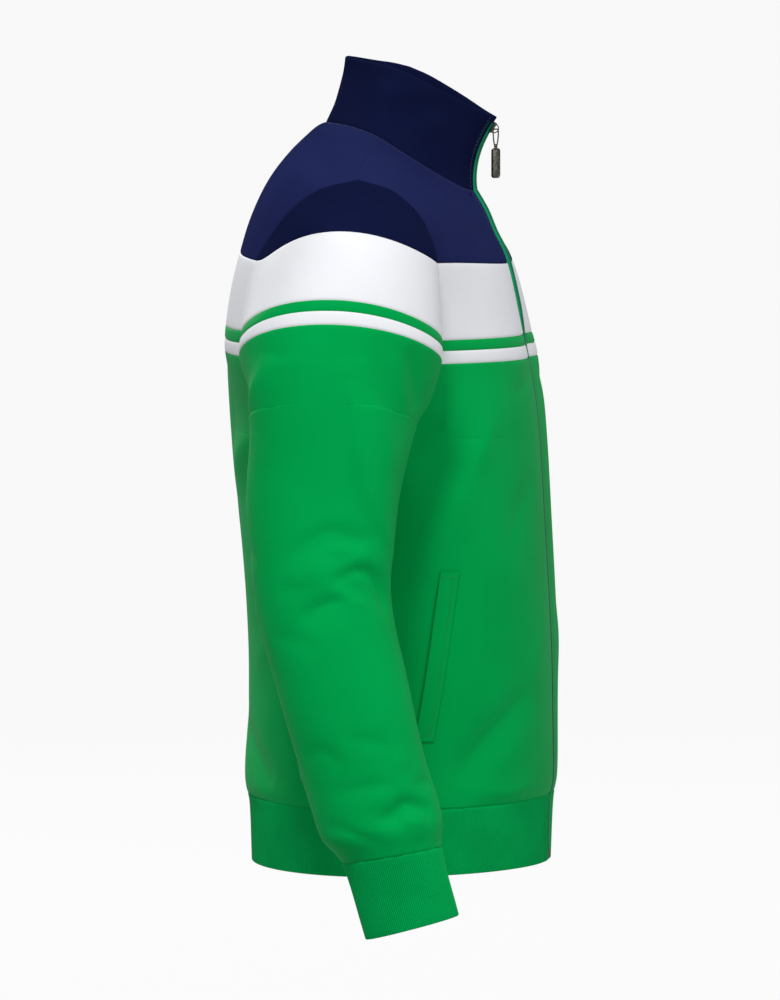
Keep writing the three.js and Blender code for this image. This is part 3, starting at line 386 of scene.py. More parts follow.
# Creases placed one by one: depth (below 0 a trough), width, then places (mm, level) along it
ARM_CREASES = {
    "right": (
        (1.8, 6, (17, -210), (24, -242), (36, -284), (53, -326), (72, -355)),
        (1.6, 7, (32, -219), (45, -249), (66, -291)),
        (1.8, 6, (50, -183), (58, -216), (69, -244)),
        (-2.6, 8, (60, -180), (70, -212), (77, -238)),
        (-2.0, 7, (-21, -362), (0, -344), (21, -339), (48, -351)),
        (1.5, 6, (-13, -370), (17, -355), (50, -360)),
        (-1.0, 5, (16, -368), (40, -357)),
        (-4.2, 6, (18, -383), (33, -374), (47, -374), (59, -383), (66, -397), (66, -412)),
        (2.4, 7, (16, -388), (30, -396), (47, -405)),
        (-2.2, 6, (-18, -419), (0, -405), (20, -398), (32, -401)),
        (-1.0, 7, (-39, -387), (-17, -390), (0, -383)),
        (-1.3, 9, (-52, -432), (-30, -433), (-4, -440)),
        (1.8, 7, (-38, -189), (-54, -209), (-69, -231), (-72, -250)),
        (-1.5, 8, (-9, -519), (24, -520), (36, -528)),
        (-1.4, 8, (-54, -538), (-30, -530), (-13, -545)),
        (1.5, 9, (36, -534), (50, -543)),
        (-1.8, 7, (-33, -567), (-9, -562), (17, -558), (33, -561)),
        (-3.6, 6, (4, -589), (20, -584), (37, -574), (50, -576), (64, -582)),
        (2.4, 8, (28, -590), (55, -586)),
        (-1.6, 6, (-54, -595), (-33, -597), (-12, -604), (6, -608)),
        (-2.0, 6, (50, -559), (78, -556)),
        (-2.4, 8, (120, -300), (104, -345), (92, -372)),
        (2.0, 8, (142, -335), (118, -372), (96, -398)),
        (-2.2, 8, (-96, -322), (-82, -352), (-60, -371)),
        (-2.6, 7, (-128, -404), (-104, -388), (-78, -392)),
        (1.8, 7, (-122, -425), (-98, -410), (-70, -415)),
        (-1.8, 8, (104, -470), (128, -492), (156, -488)),
        (-2.0, 7, (96, -560), (122, -574), (150, -571)),
        (1.6, 8, (-118, -540), (-92, -556), (-70, -552)),
        (-2.2, 7, (-140, -580), (-112, -588), (-84, -583)),
        (-2.0, 8, (118, -290), (136, -282), (158, -292)),
        (-1.8, 8, (-120, -286), (-138, -292), (-160, -288)),
    ),
    "left": (
        (1.6, 7, (20, -214), (29, -250), (40, -290), (55, -322), (70, -348)),
        (1.7, 7, (38, -212), (50, -244), (68, -283)),
        (-2.4, 8, (58, -182), (69, -210), (78, -242)),
        (-2.3, 7, (-26, -352), (-4, -338), (20, -334), (44, -346)),
        (1.6, 7, (-8, -364), (20, -351), (52, -357)),
        (-3.8, 6, (12, -386), (30, -376), (46, -377), (60, -388), (68, -404)),
        (2.2, 8, (10, -394), (28, -402), (46, -412)),
        (-2.4, 7, (-24, -424), (-4, -412), (18, -406), (34, -410)),
        (-1.4, 8, (-50, -398), (-26, -394), (-6, -398)),
        (-1.5, 9, (-46, -448), (-24, -450), (4, -458)),
        (1.9, 8, (-42, -194), (-58, -216), (-70, -244)),
        (-1.7, 8, (-4, -508), (22, -506), (42, -516)),
        (-1.6, 9, (-58, -522), (-34, -516), (-16, -528)),
        (1.7, 8, (30, -544), (52, -552)),
        (-2.0, 7, (-28, -574), (-6, -566), (20, -564), (36, -570)),
        (-3.2, 6, (8, -594), (26, -588), (42, -580), (62, -588)),
        (2.0, 8, (-10, -588), (-34, -582)),
        (-2.2, 8, (118, -308), (102, -350), (90, -380)),
        (1.9, 8, (140, -342), (116, -380), (98, -404)),
        (-2.3, 8, (-98, -316), (-80, -344), (-58, -360)),
        (-2.4, 7, (-126, -412), (-100, -396), (-76, -402)),
        (-1.9, 8, (100, -478), (126, -500), (152, -494)),
        (-2.1, 7, (94, -566), (120, -580), (148, -576)),
        (-2.0, 7, (-142, -574), (-114, -584), (-88, -577)),
        (-2.1, 8, (116, -286), (138, -280), (156, -288)),
        (-1.9, 8, (-118, -290), (-140, -296), (-158, -292)),
    ),
}
BODY_CREASES = {
    "front_right": (
        (-3.0, 9, (216, -263), (200, -256), (182, -252)),
        (1.8, 12, (123, -248), (144, -275), (165, -305), (184, -338), (207, -395)),
        (-1.6, 12, (86, -495), (120, -515), (144, -535), (160, -552), (174, -572)),
        (-1.4, 14, (60, -300), (92, -330), (120, -372)),
        (1.2, 16, (40, -420), (66, -460), (80, -500)),
        (-1.8, 10, (235, -330), (246, -380), (250, -430)),
        (1.5, 9, (70, -575), (110, -584), (150, -580)),
        (-1.5, 10, (226, -470), (240, -510), (238, -556)),
        (-1.2, 9, (24, -205), (60, -222), (96, -226)),
    ),
    "front_left": (
        (-2.8, 9, (214, -260), (198, -254), (180, -250)),
        (1.9, 12, (118, -252), (140, -282), (160, -314), (182, -350), (200, -402)),
        (-1.7, 12, (78, -488), (110, -506), (138, -530), (162, -560)),
        (-1.5, 14, (66, -312), (98, -346), (124, -392)),
        (1.3, 16, (34, -430), (58, -470), (76, -516)),
        (-1.6, 10, (232, -340), (244, -392), (248, -446)),
        (1.4, 9, (64, -572), (104, -582), (146, -577)),
        (-1.3, 9, (28, -210), (66, -226), (104, -228)),
    ),
    "back_right": (
        (1.8, 12, (60, -306), (104, -282), (150, -262), (190, -238)),
        (-2.0, 12, (84, -330), (128, -304), (176, -280)),
        (-1.8, 13, (30, -524), (74, -542), (118, -566), (142, -574)),
        (-1.8, 14, (122, -424), (160, -400), (214, -352)),
        (1.4, 14, (96, -470), (140, -448), (196, -410)),
        (1.4, 12, (22, -150), (28, -220), (34, -318)),
        (-1.4, 12, (60, -196), (72, -236), (76, -268)),
        (1.5, 9, (90, -580), (136, -585), (182, -578)),
    ),
    "back_left": (
        (1.7, 12, (54, -314), (98, -290), (146, -268), (186, -246)),
        (-2.0, 12, (80, -342), (122, -316), (170, -290)),
        (-1.9, 13, (36, -512), (78, -530), (122, -556), (150, -568)),
        (-1.7, 14, (116, -436), (156, -410), (208, -364)),
        (1.3, 14, (90, -482), (132, -458), (190, -422)),
        (-1.5, 12, (56, -188), (66, -230), (72, -262)),
        (1.4, 9, (84, -576), (130, -583), (176, -575)),
    ),
}


def fold_shift(place, level, fold):
    """How far a large fold moves the cloth out at each point."""
    start, start_level, end, end_level, depth, width = fold
    dx, dz = end - start, end_level - start_level
    along = ((place - start) * dx + (level - start_level) * dz) / (dx * dx + dz * dz)
    share = np.clip(along, 0, 1)
    distance = np.hypot(place - start - share * dx, level - start_level - share * dz)
    fade = 0.35 + 0.65 * np.sin(np.pi * np.clip(share, 0.02, 0.98))
    return depth * fade * np.exp(-((distance / width) ** 2))


def crease_shift(place, level, crease, turn=None):
    """How far a crease moves the cloth out: a soft bent ridge or trough, faded at both ends."""
    depth, width, *points = crease
    line = smooth_curve(points, 5)
    offset = place - line[0, 0]
    if turn:
        offset = offset - turn * np.round(offset / turn)
    spot = np.stack([offset + line[0, 0], level], axis=-1)
    reach = 3 * width
    low, high = line.min(axis=0) - reach, line.max(axis=0) + reach
    close = np.all((spot > low) & (spot < high), axis=-1)
    shift = np.zeros(place.shape)
    if not close.any():
        return shift
    spots = spot[close][:, None]
    start, step = line[None, :-1], np.diff(line, axis=0)[None]
    along = np.clip(((spots - start) * step).sum(axis=2) / (step**2).sum(axis=2), 0, 1)
    distances = np.linalg.norm(spots - start - along[..., None] * step, axis=2)
    nearest = distances.argmin(axis=1)
    rows = np.arange(len(nearest))
    share = (nearest + along[rows, nearest]) / step.shape[1]
    fade = np.sin(np.pi * np.clip(share, 0.001, 0.999)) ** 0.6
    shift[close] = depth * fade * np.exp(-((distances[rows, nearest] / width) ** 1.6))
    return shift


def groove(distance, depth=SEAM["depth"], width=SEAM["width"]):
    return -depth * np.exp(-((distance / width) ** 2))


def pucker(run, distance, size, reach):
    """Small gathers beside a seam, uneven along it."""
    wave = np.sin(run / 2.3) + 0.7 * np.sin(run / 3.7 + 1.3) + 0.5 * np.sin(run / 9.1 + 0.4)
    return size * wave * np.exp(-distance / reach) * np.clip(distance / 1.5, 0, 1)


def eased(distance):
    t = np.clip(distance / EASE, 0, 1)
    return t * t * (3 - 2 * t)


def body_half(part, side):
    """Rows of one half of a panel from the hem seam up, with creases and seams, and their places."""
    places = places_between(LINE["hem_seam"], LINE["shoulder"], ZONE_LENGTHS)
    across = steps_between(HALF_WIDTH, ROW_STEP) / HALF_WIDTH
    base = body_grid(part, places, across)
    normals = grid_normals(base) * (1 if part == "front" else -1)
    run, rise = runs_along(base, 1), runs_along(base, 0)
    level = base[:, :, 2]
    to_side = run[:, -1:] - run
    column = across[None, :] * 10
    folds = sum(fold_shift(run, level, fold) for fold in (FRONT_FOLDS if part == "front" else BACK_FOLDS))
    rim = np.clip(np.minimum(column, 10 - column) / 2, 0, 1)
    inside = (level < FOLD_TOP["body"]) & (level > FOLD_FOOT["body"])
    shift = folds * rim * inside
    from_middle = eased(run) if part == "front" else 1
    creases = sum(crease_shift(run, level, crease) for crease in BODY_CREASES[f"{part}_{side}"])
    creases = creases * CREASE_SHARE
    shift = shift + creases * from_middle * eased(to_side) * eased(rise)
    starts = {name: int(np.argmin(np.abs(places - LINE[name]))) for name in LINE_NAMES[1:]}
    for name in ("hem_seam", "main_top", "stripe_top", "band_foot", "band_top", "shoulder"):
        distance = np.abs(rise - rise[starts[name]][None, :])
        shift = shift + groove(distance)
        kind = "hem" if name == "hem_seam" else "fine"
        shift = shift + pucker(run, distance, *PUCKER[kind]) * eased(to_side) * eased(run)
    armhole = places[:, None] >= LINE["armpit"]
    side_depth = np.where(armhole, SIDE_GROOVE["armhole"], SIDE_GROOVE["below"])
    shift = shift + groove(to_side, side_depth, SIDE_GROOVE["width"])
    at_neck = places[:, None] >= LINE["neck_foot"]
    shift = shift + groove(run, **NECK_GROOVE) * at_neck
    stitched = at_neck if part == "back" else 1
    shift = shift + groove(np.abs(run - TOPSTITCH), **STITCH_GROOVE) * stitched
    shift = shift + pucker(rise, to_side, *PUCKER["side"])
    grid = base + normals * shift[..., None]
    return grid, np.stack([run, rise], axis=-1), starts


def sleeve_form(side):
    """Rows of a sleeve from the shoulder point to the cuff seam, with creases and seams, and their places."""
    cap_places = places_between(LINE["armpit"], LINE["shoulder"], ZONE_LENGTHS)[::-1]
    ring_places = places_between(RING["armpit"], RING["cuff_seam"], RING_LENGTHS)
    across = steps_between(HALF_ARM, ROW_STEP, near_end=False) / HALF_ARM
    base = np.concatenate([cap_grid(cap_places, across), ring_grid(ring_places[1:], across)])
    normals = -grid_normals(base)
    run, rise = runs_along(base, 1), runs_along(base, 0)
    level = base[:, :, 2]
    outer = base[:, len(across) - 1][:, None]
    centre = (outer + (base[:, :1] + base[:, -1:]) / 2) / 2
    angle = np.arctan2(-(base[..., 1] - centre[..., 1]), base[..., 0] - centre[..., 0])
    place = angle * ARM_RADIUS
    shift = np.zeros(place.shape)
    per_degree = np.radians(1) * ARM_RADIUS
    for start, start_level, end, end_level, depth, width in ARM_FOLDS:
        turned = place - start * per_degree
        turned = turned - ARM_TURN * np.round(turned / ARM_TURN)
        spread = (end - start + 180) % 360 - 180
        shift += fold_shift(turned, level, (0, start_level, spread * per_degree, end_level, depth, width))
    column = np.concatenate([across, 2 - across[::-1][1:]])[None, :] * 9
    rim = np.clip(np.minimum(column, 18 - column) / 2, 0, 1)
    inside = (level < FOLD_TOP["arm"]) & (level > FOLD_FOOT["arm"])
    shift = shift * rim * inside
    to_end = np.minimum(run, run[:, -1:] - run)
    to_cuff = rise[-1][None, :] - rise
    hole = (np.arange(len(base)) < len(cap_places))[:, None]
    creases = sum(crease_shift(place, level, crease, ARM_TURN) for crease in ARM_CREASES[side])
    creases = creases * CREASE_SHARE
    shift = shift + creases * eased(to_end) * eased(to_cuff)
    side_depth = np.where(hole, SLEEVE_GROOVE["armhole"], SLEEVE_GROOVE["below"])
    shift = shift + groove(to_end, side_depth, SLEEVE_GROOVE["width"])
    shift = shift + pucker(rise, to_end, *PUCKER["armhole"]) * hole
    starts = {name: int(np.argmin(np.abs(cap_places - LINE[name]))) for name in LINE_NAMES[3:]}
    for name in ("main_top", "stripe_top", "band_foot", "band_top"):
        distance = np.abs(rise - rise[starts[name]][None, :])
        shift = shift + groove(distance) * eased(to_end + 4)
        shift = shift + pucker(run, distance, *PUCKER["fine"]) * eased(to_end)
    shift = shift + groove(to_cuff) + pucker(run, to_cuff, *PUCKER["cuff"]) * eased(to_end)
    starts["cuff_seam"] = len(base) - 1
    starts["shoulder"] = 0
    grid = base + normals * shift[..., None]
    return grid, np.stack([run, rise], axis=-1), starts


def doubled(grid, normals, radius):
    """The rows of a grid, a roll round its last row, and the same rows back inside."""
    beyond = grid[-1] - grid[-2]
    beyond /= np.linalg.norm(beyond, axis=1)[:, None]
    centre = grid[-1] - normals[-1] * radius
    angles = np.radians([25, 50, 75, 105, 130, 155])
    roll = [centre + radius * (normals[-1] * np.cos(a) + beyond * np.sin(a)) for a in angles]
    inner = (grid - normals * 2 * radius)[::-1]
    return np.concatenate([grid, np.array(roll), inner])


def turned_edge(grid, normals, radius, depths):
    """Columns that carry a grid round its first column and some way back inside."""
    edge, normal = grid[:, 0], normals[:, 0]
    across = grid[:, 3] - edge
    across /= np.linalg.norm(across, axis=1)[:, None]
    centre = edge - normal * radius
    angles = np.radians([0, 35, 70, 110, 145, 180])
    columns = [centre + radius * (normal * np.cos(a) - across * np.sin(a)) for a in angles]
    columns += [edge - normal * 2 * radius + across * depth for depth in depths]
    return np.stack(columns, axis=1)


def even_shares(grid, count):
    """Shares along the middle row of a grid that cut it into equal lengths."""
    row = grid[len(grid) // 2]
    run = np.concatenate([[0], np.cumsum(np.linalg.norm(np.diff(row, axis=0), axis=1))])
    shares = np.linspace(0, 1, len(row))
    return np.interp(np.linspace(0, run[-1], count + 1), run, shares), run[-1]


def mesh_object(name, points, faces, cloth_places=None):
    """A smooth mesh of points in mm. cloth_places are where each point lies on its cloth, in mm."""
    mesh = bpy.data.meshes.new(name)
    mesh.from_pydata((np.asarray(points) * MM).tolist(), [], np.asarray(faces).tolist())
    if cloth_places is not None:
        layer = mesh.uv_layers.new(name="cloth")
        corners = np.empty(len(mesh.loops), dtype=np.int64)
        mesh.loops.foreach_get("vertex_index", corners)
        layer.data.foreach_set("uv", (np.asarray(cloth_places)[corners] * MM).astype(np.float32).ravel())
    made = bpy.data.objects.new(name, mesh)
    bpy.context.collection.objects.link(made)
    tidy = bmesh.new()
    tidy.from_mesh(mesh)
    bmesh.ops.remove_doubles(tidy, verts=tidy.verts, dist=0.02 * MM)
    tidy.to_mesh(mesh)
    tidy.free()
    mesh.shade_smooth()
    return made


def grid_faces(rows, columns, flip):
    index = np.arange(rows * columns).reshape(rows, columns)
    corners = [index[:-1, :-1], index[:-1, 1:], index[1:, 1:], index[1:, :-1]]
    faces = np.stack([corner.ravel() for corner in corners], axis=1)
    return faces[:, ::-1] if flip else faces


def joined_grids(name, grids):
    """One mesh from several grids: points, places on the cloth, and whether the faces flip."""
    points, places, faces, count = [], [], [], 0
    for grid, spots, flip in grids:
        rows, columns = grid.shape[:2]
        points.append(grid.reshape(-1, 3))
        places.append(spots.reshape(-1, 2))
        faces.append(grid_faces(rows, columns, flip) + count)
        count += rows * columns
    return mesh_object(name, np.vstack(points), np.vstack(faces), np.vstack(places))


MIRROR = np.array([-1.0, 1.0, 1.0])


def on_side(grid, side):
    return grid * MIRROR if side == "right" else grid

# Materials


def add_node(material, kind, place=(0, 0), **values):
    node = material.node_tree.nodes.new(kind)
    node.location = place
    for name, value in values.items():
        if name in node.inputs:
            node.inputs[name].default_value = value
        else:
            setattr(node, name, value)
    return node


def new_material(name):
    material = bpy.data.materials.new(name)
    material.use_nodes = True
    return material, material.node_tree.nodes["Principled BSDF"], material.node_tree.links


def cloth_waves(material, links, across_pitch, up_pitch):
    """Waves across and up the cloth, with their pitches in mm, and the cloth's own places."""
    spots = add_node(material, "ShaderNodeUVMap", (-1300, 0), uv_map="cloth")
    split = add_node(material, "ShaderNodeSeparateXYZ", (-1120, 0))
    links.new(spots.outputs["UV"], split.inputs["Vector"])
    waves = []
    for axis, pitch in (("X", across_pitch), ("Y", up_pitch)):
        turn = add_node(material, "ShaderNodeMath", (-950, 0), operation="MULTIPLY")
        turn.inputs[1].default_value = 2 * np.pi / (pitch * MM)
        wave = add_node(material, "ShaderNodeMath", (-780, 0), operation="SINE")
        links.new(split.outputs[axis], turn.inputs[0])
        links.new(turn.outputs[0], wave.inputs[0])
        waves.append(wave.outputs[0])
    return waves, spots.outputs["UV"]


def mottled(material, links, coordinates, scale, detail, dark, light, low=0.35, high=0.65):
    """A colour that varies softly between two."""
    noise = add_node(material, "ShaderNodeTexNoise", (-700, 300), Scale=scale, Detail=detail)
    ramp = add_node(material, "ShaderNodeValToRGB", (-450, 300))
    ramp.color_ramp.elements[0].position = low
    ramp.color_ramp.elements[1].position = high
    ramp.color_ramp.elements[0].color = (*dark, 1)
    ramp.color_ramp.elements[1].color = (*light, 1)
    links.new(coordinates, noise.inputs["Vector"])
    links.new(noise.outputs["Fac"], ramp.inputs["Fac"])
    return ramp.outputs["Color"], noise.outputs["Fac"]


def knit_material(name, dark, light, tint, roughness, sheen, stitch, strength, gloss):
    """A knitted cloth: columns and rows of fine stitches, uneven colour and a soft tinted sheen."""
    material, shader, links = new_material(name)
    waves, spots = cloth_waves(material, links, *stitch)
    colour, _ = mottled(material, links, spots, 9, 6, dark, light)
    links.new(colour, shader.inputs["Base Color"])
    product = add_node(material, "ShaderNodeMath", (-600, -200), operation="MULTIPLY")
    links.new(waves[0], product.inputs[0])
    links.new(waves[1], product.inputs[1])
    yarn = add_node(material, "ShaderNodeTexNoise", (-600, -450), Scale=900, Detail=3)
    links.new(spots, yarn.inputs["Vector"])
    height = add_node(material, "ShaderNodeMath", (-400, -300), operation="MULTIPLY_ADD")
    height.inputs[1].default_value = 0.5
    links.new(product.outputs[0], height.inputs[0])
    links.new(yarn.outputs["Fac"], height.inputs[2])
    bump = add_node(material, "ShaderNodeBump", (-200, -300), Strength=strength, Distance=0.15 * MM)
    links.new(height.outputs[0], bump.inputs["Height"])
    links.new(bump.outputs["Normal"], shader.inputs["Normal"])
    rough = add_node(material, "ShaderNodeMapRange", (-200, 100))
    rough.inputs["To Min"].default_value = roughness - 0.06
    rough.inputs["To Max"].default_value = roughness + 0.06
    links.new(yarn.outputs["Fac"], rough.inputs["Value"])
    links.new(rough.outputs["Result"], shader.inputs["Roughness"])
    shader.inputs["Sheen Weight"].default_value = sheen
    shader.inputs["Sheen Roughness"].default_value = 0.4
    shader.inputs["Sheen Tint"].default_value = (*tint, 1)
    shader.inputs["Specular Tint"].default_value = (*tint, 1)
    shader.inputs["Specular IOR Level"].default_value = gloss
    return material


def rib_material(name, dark, light, tint, pitch):
    """Rib knit: painted shade darkens the colour between its ribs, with stitches up each rib."""
    material, shader, links = new_material(name)
    waves, spots = cloth_waves(material, links, pitch, 0.9)
    colour, _ = mottled(material, links, spots, 20, 4, dark, light)
    # Painted shade: the colour drops to 0.72 of itself in the grooves between the ribs
    depth = add_node(material, "ShaderNodeMapRange", (-450, 100))
    depth.inputs["From Min"].default_value = -1
    depth.inputs["To Min"].default_value = 0.72
    links.new(waves[0], depth.inputs["Value"])
    shade = add_node(material, "ShaderNodeVectorMath", (-250, 200), operation="SCALE")
    links.new(colour, shade.inputs[0])
    links.new(depth.outputs["Result"], shade.inputs["Scale"])
    links.new(shade.outputs[0], shader.inputs["Base Color"])
    bump = add_node(material, "ShaderNodeBump", (-200, -300), Strength=0.35, Distance=0.12 * MM)
    links.new(waves[1], bump.inputs["Height"])
    links.new(bump.outputs["Normal"], shader.inputs["Normal"])
    shader.inputs["Roughness"].default_value = 0.85
    shader.inputs["Sheen Weight"].default_value = 0.06
    shader.inputs["Sheen Tint"].default_value = (*tint, 1)
    shader.inputs["Specular Tint"].default_value = (*tint, 1)
    shader.inputs["Specular IOR Level"].default_value = 0.15
    return material


def plain_fine_material(name, dark, light, roughness, metallic, scale, strength):
    """Thread, coil or metal: a colour uneven at a fine scale, with fine relief."""
    material, shader, links = new_material(name)
    spots = add_node(material, "ShaderNodeTexCoord", (-1000, 0)).outputs["Object"]
    colour, noise = mottled(material, links, spots, scale, 5, dark, light)
    links.new(colour, shader.inputs["Base Color"])
    bump = add_node(material, "ShaderNodeBump", (-200, -300), Strength=strength, Distance=0.1 * MM)
    links.new(noise, bump.inputs["Height"])
    links.new(bump.outputs["Normal"], shader.inputs["Normal"])
    rough = add_node(material, "ShaderNodeMapRange", (-200, 100))
    rough.inputs["To Min"].default_value = roughness - 0.12
    rough.inputs["To Max"].default_value = roughness + 0.12
    links.new(noise, rough.inputs["Value"])
    links.new(rough.outputs["Result"], shader.inputs["Roughness"])
    shader.inputs["Metallic"].default_value = metallic
    return material


RIB_PITCH = 1.8
TRICOT = (0.62, 0.5)
LEAF = (0.1, 1, 0.45)
DUSK = (0.45, 0.55, 1)
SNOW = (0.97, 0.98, 1)

# Knits: look, title, dark and light colour, tint, roughness, sheen, stitch pitches, relief, gloss
KNITS = (
    ("green", "green tricot", (0, 0.315, 0.062), (0, 0.35, 0.072), LEAF, 0.58, 0.05, TRICOT, 0.3, 0.06),
    ("navy", "navy tricot", (0.011, 0.0155, 0.072), (0.0135, 0.019, 0.084), DUSK, 0.62, 0.02, TRICOT, 0.3, 0),
    # The same navy tricot painted darker: painted shade on the sleeve caps and the collar
    ("navy_painted_shade", "navy tricot painted darker as shade", (0.0045, 0.007, 0.034), (0.0065, 0.0095, 0.042), DUSK,
     0.66, 0.01, TRICOT, 0.3, 0),
    ("white", "white tricot", (0.77, 0.78, 0.815), (0.81, 0.82, 0.855), SNOW, 0.58, 0.04, TRICOT, 0.25, 0.25),
    ("tape", "zip tape", (0.004, 0.22, 0.09), (0.006, 0.26, 0.11), LEAF, 0.6, 0.05, (1.1, 0.5), 0.5, 0.25),
)
# Thread, coil and metal: look, title, dark and light colour, roughness, metallic, scale, relief
FINE = (
    ("coil", "zip coil", (0.005, 0.2, 0.085), (0.008, 0.25, 0.11), 0.42, 0, 700, 0.2),
    ("green_thread", "green thread", (0, 0.24, 0.045), (0, 0.3, 0.06), 0.5, 0, 1500, 0.4),
    ("navy_thread", "navy thread", (0.008, 0.01, 0.055), (0.011, 0.014, 0.07), 0.5, 0, 1500, 0.4),
    ("white_thread", "white thread", (0.66, 0.66, 0.73), (0.72, 0.72, 0.79), 0.5, 0, 1500, 0.4),
    ("metal", "dark metal", (0.07, 0.065, 0.055), (0.17, 0.16, 0.14), 0.34, 1, 420, 0.25),
)
MATERIALS = {look: knit_material(*row) for look, *row in KNITS}
MATERIALS["rib"] = rib_material("green rib", (0, 0.36, 0.078), (0, 0.41, 0.09), LEAF, RIB_PITCH)
MATERIALS.update({look: plain_fine_material(*row) for look, *row in FINE})

# The jacket's pieces


def finished(made, look, nodes=(), body="jacket"):
    """Gives a piece its material and its body, and hides the solids that it stands for."""
    made.data.materials.clear()
    made.data.materials.append(MATERIALS[look])
    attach(made, body)
    if nodes:
        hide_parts(*nodes)
    return made


BODY_PIECES = (
    ("yoke", "band_top", "shoulder", "navy"), ("band", "band_foot", "band_top", "white"),
    ("stripe_green", "stripe_top", "band_foot", "green"), ("stripe_white", "main_top", "stripe_top", "white"),
    ("main", "hem_seam", "main_top", "green"),
)
SLEEVE_PIECES = (
    # The cap takes the navy painted darker, as painted shade
    ("cap", "shoulder", "band_top", "navy_painted_shade"), ("band", "band_top", "band_foot", "white"),
    ("stripe_green", "band_foot", "stripe_top", "green"), ("stripe_white", "stripe_top", "main_top", "white"),
    ("main", "main_top", "cuff_seam", "green"),
)
EDGE_RADIUS = 0.7
FACING = (4, 10, 18)

halves = {(part, side): body_half(part, side) for part in ("front", "back") for side in ("right", "left")}
sleeves = {side: sleeve_form(side) for side in ("right", "left")}


def cut_of(grid, starts, first, last):
    return grid[starts[first] : starts[last] + 1]


def front_facing(rows, places):
    """The turned edge of a front beside the zip, and its places on the cloth."""
    turned = turned_edge(rows, grid_normals(rows), EDGE_RADIUS, FACING)
    run = -runs_along(turned, 1)
    rise = np.repeat(places[:, :1, 1], turned.shape[1], axis=1)
    return turned, np.stack([run, rise], axis=-1)


for piece, first, last, look in BODY_PIECES:
    for side in ("right", "left"):
        grid, places, starts = halves["front", side]
        rows, spots = cut_of(grid, starts, first, last), cut_of(places, starts, first, last)
        beside_zip = starts["neck_foot"] - starts[first] + 1
        edge, edge_spots = front_facing(rows[:beside_zip], spots[:beside_zip])
        flip = side == "right"
        grids = [(on_side(rows, side), spots, flip), (on_side(edge, side), edge_spots, not flip)]
        name = f"front_{piece}_{side}"
        finished(joined_grids("cloth_" + name, grids), look, [name])
    grids = []
    for side in ("right", "left"):
        grid, places, starts = halves["back", side]
        rows, spots = cut_of(grid, starts, first, last), cut_of(places, starts, first, last)
        mirror = -1 if side == "right" else 1
        grids.append((on_side(rows, side), spots * (mirror, 1), side == "left"))
    finished(joined_grids(f"cloth_back_{piece}", grids), look, [f"back_{piece}"])

for side in ("right", "left"):
    grid, places, starts = sleeves[side]
    for piece, first, last, look in SLEEVE_PIECES:
        rows, spots = cut_of(grid, starts, first, last), cut_of(places, starts, first, last)
        name = f"sleeve_{piece}_{side}"
        finished(joined_grids("cloth_" + name, [(on_side(rows, side), spots, side == "left")]), look, [name])

# Rib hem and cuffs: ridges all round, folded at their open edge
RIB = {"height": 0.26, "radius": 1.2, "per_rib": 4, "row_step": 5}


def ribbed(grid, normals):
    """Moves a grid's points out and in again along each rib, and gives their places on the cloth."""
    column = np.arange(grid.shape[1]) / RIB["per_rib"]
    ridge = RIB["height"] * np.sin(2 * np.pi * column)
    rise = runs_along(grid, 0)
    shift = ridge[None, :] + groove(rise) + groove(np.abs(rise - RIB_GROOVE_PLACE), **RIB_GROOVE)
    spots = np.stack([np.broadcast_to(column * RIB_PITCH, rise.shape), rise], axis=-1)
    return grid + normals * shift[..., None], spots


def rib_sheet(grid, normals):
    outer, spots = ribbed(grid, normals)
    whole = doubled(outer, normals, RIB["radius"])
    rise = runs_along(whole, 0)
    column = np.broadcast_to(spots[0, :, 0], rise.shape)
    return whole, np.stack([column, rise], axis=-1)


def closing_edge(whole, radius):
    """The rounded strip that closes the doubled cloth at its first column."""
    half = len(whole) // 2
    outer, inner = whole[:half, 0], whole[::-1][:half, 0]
    away = whole[:half, 0] - whole[:half, 2]
    away /= np.linalg.norm(away, axis=1)[:, None]
    middle, reach = (outer + inner) / 2, (outer - inner) / 2
    angles = np.radians([0, 30, 60, 90, 120, 150, 180])
    strip = np.stack([middle + reach * np.cos(a) + away * radius * np.sin(a) for a in angles], axis=1)
    return strip, np.stack([runs_along(strip, 1), runs_along(strip, 0)], axis=-1)


hem_grids = []
for part in ("front", "back"):
    rough = body_grid(part, np.linspace(0, 1, 5), np.linspace(0, 1, 400))
    length = runs_along(rough, 1)[2, -1]
    ribs = int(round(length / RIB_PITCH))
    shares, _ = even_shares(rough, ribs * RIB["per_rib"])
    levels = 1 - steps_between(ZONE_LENGTHS[0], RIB["row_step"], near_end=False) / ZONE_LENGTHS[0]
    grid = body_grid(part, levels, shares)
    normals = -grid_normals(grid) * (1 if part == "front" else -1)
    whole, spots = rib_sheet(grid, normals)
    for side in ("right", "left"):
        mirror = -1 if side == "right" else 1
        flip = (part == "front") == (side == "left")
        hem_grids.append((on_side(whole, side), spots * (mirror, 1), flip))
        if part == "front":
            strip, strip_spots = closing_edge(whole, EDGE_RADIUS)
            hem_grids.append((on_side(strip, side), strip_spots, not flip))
finished(joined_grids("cloth_hem_rib", hem_grids), "rib", ["hem_rib"])

for side in ("right", "left"):
    rough = ring_grid(np.linspace(6, 7, 5), np.linspace(0, 1, 200))
    length = runs_along(rough, 1)[2, -1]
    ribs = int(round(length / RIB_PITCH / 2)) * 2
    half_row = rough[:, :200]
    shares, _ = even_shares(half_row, ribs // 2 * RIB["per_rib"])
    levels = 6 + steps_between(RING_LENGTHS[-1], RIB["row_step"], near_end=False) / RING_LENGTHS[-1]
    grid = ring_grid(levels, shares)
    normals = -grid_normals(grid)
    whole, spots = rib_sheet(grid, normals)
    finished(joined_grids(f"cloth_cuff_{side}", [(on_side(whole, side), spots, side == "left")]), "rib",
             [f"cuff_{side}"])

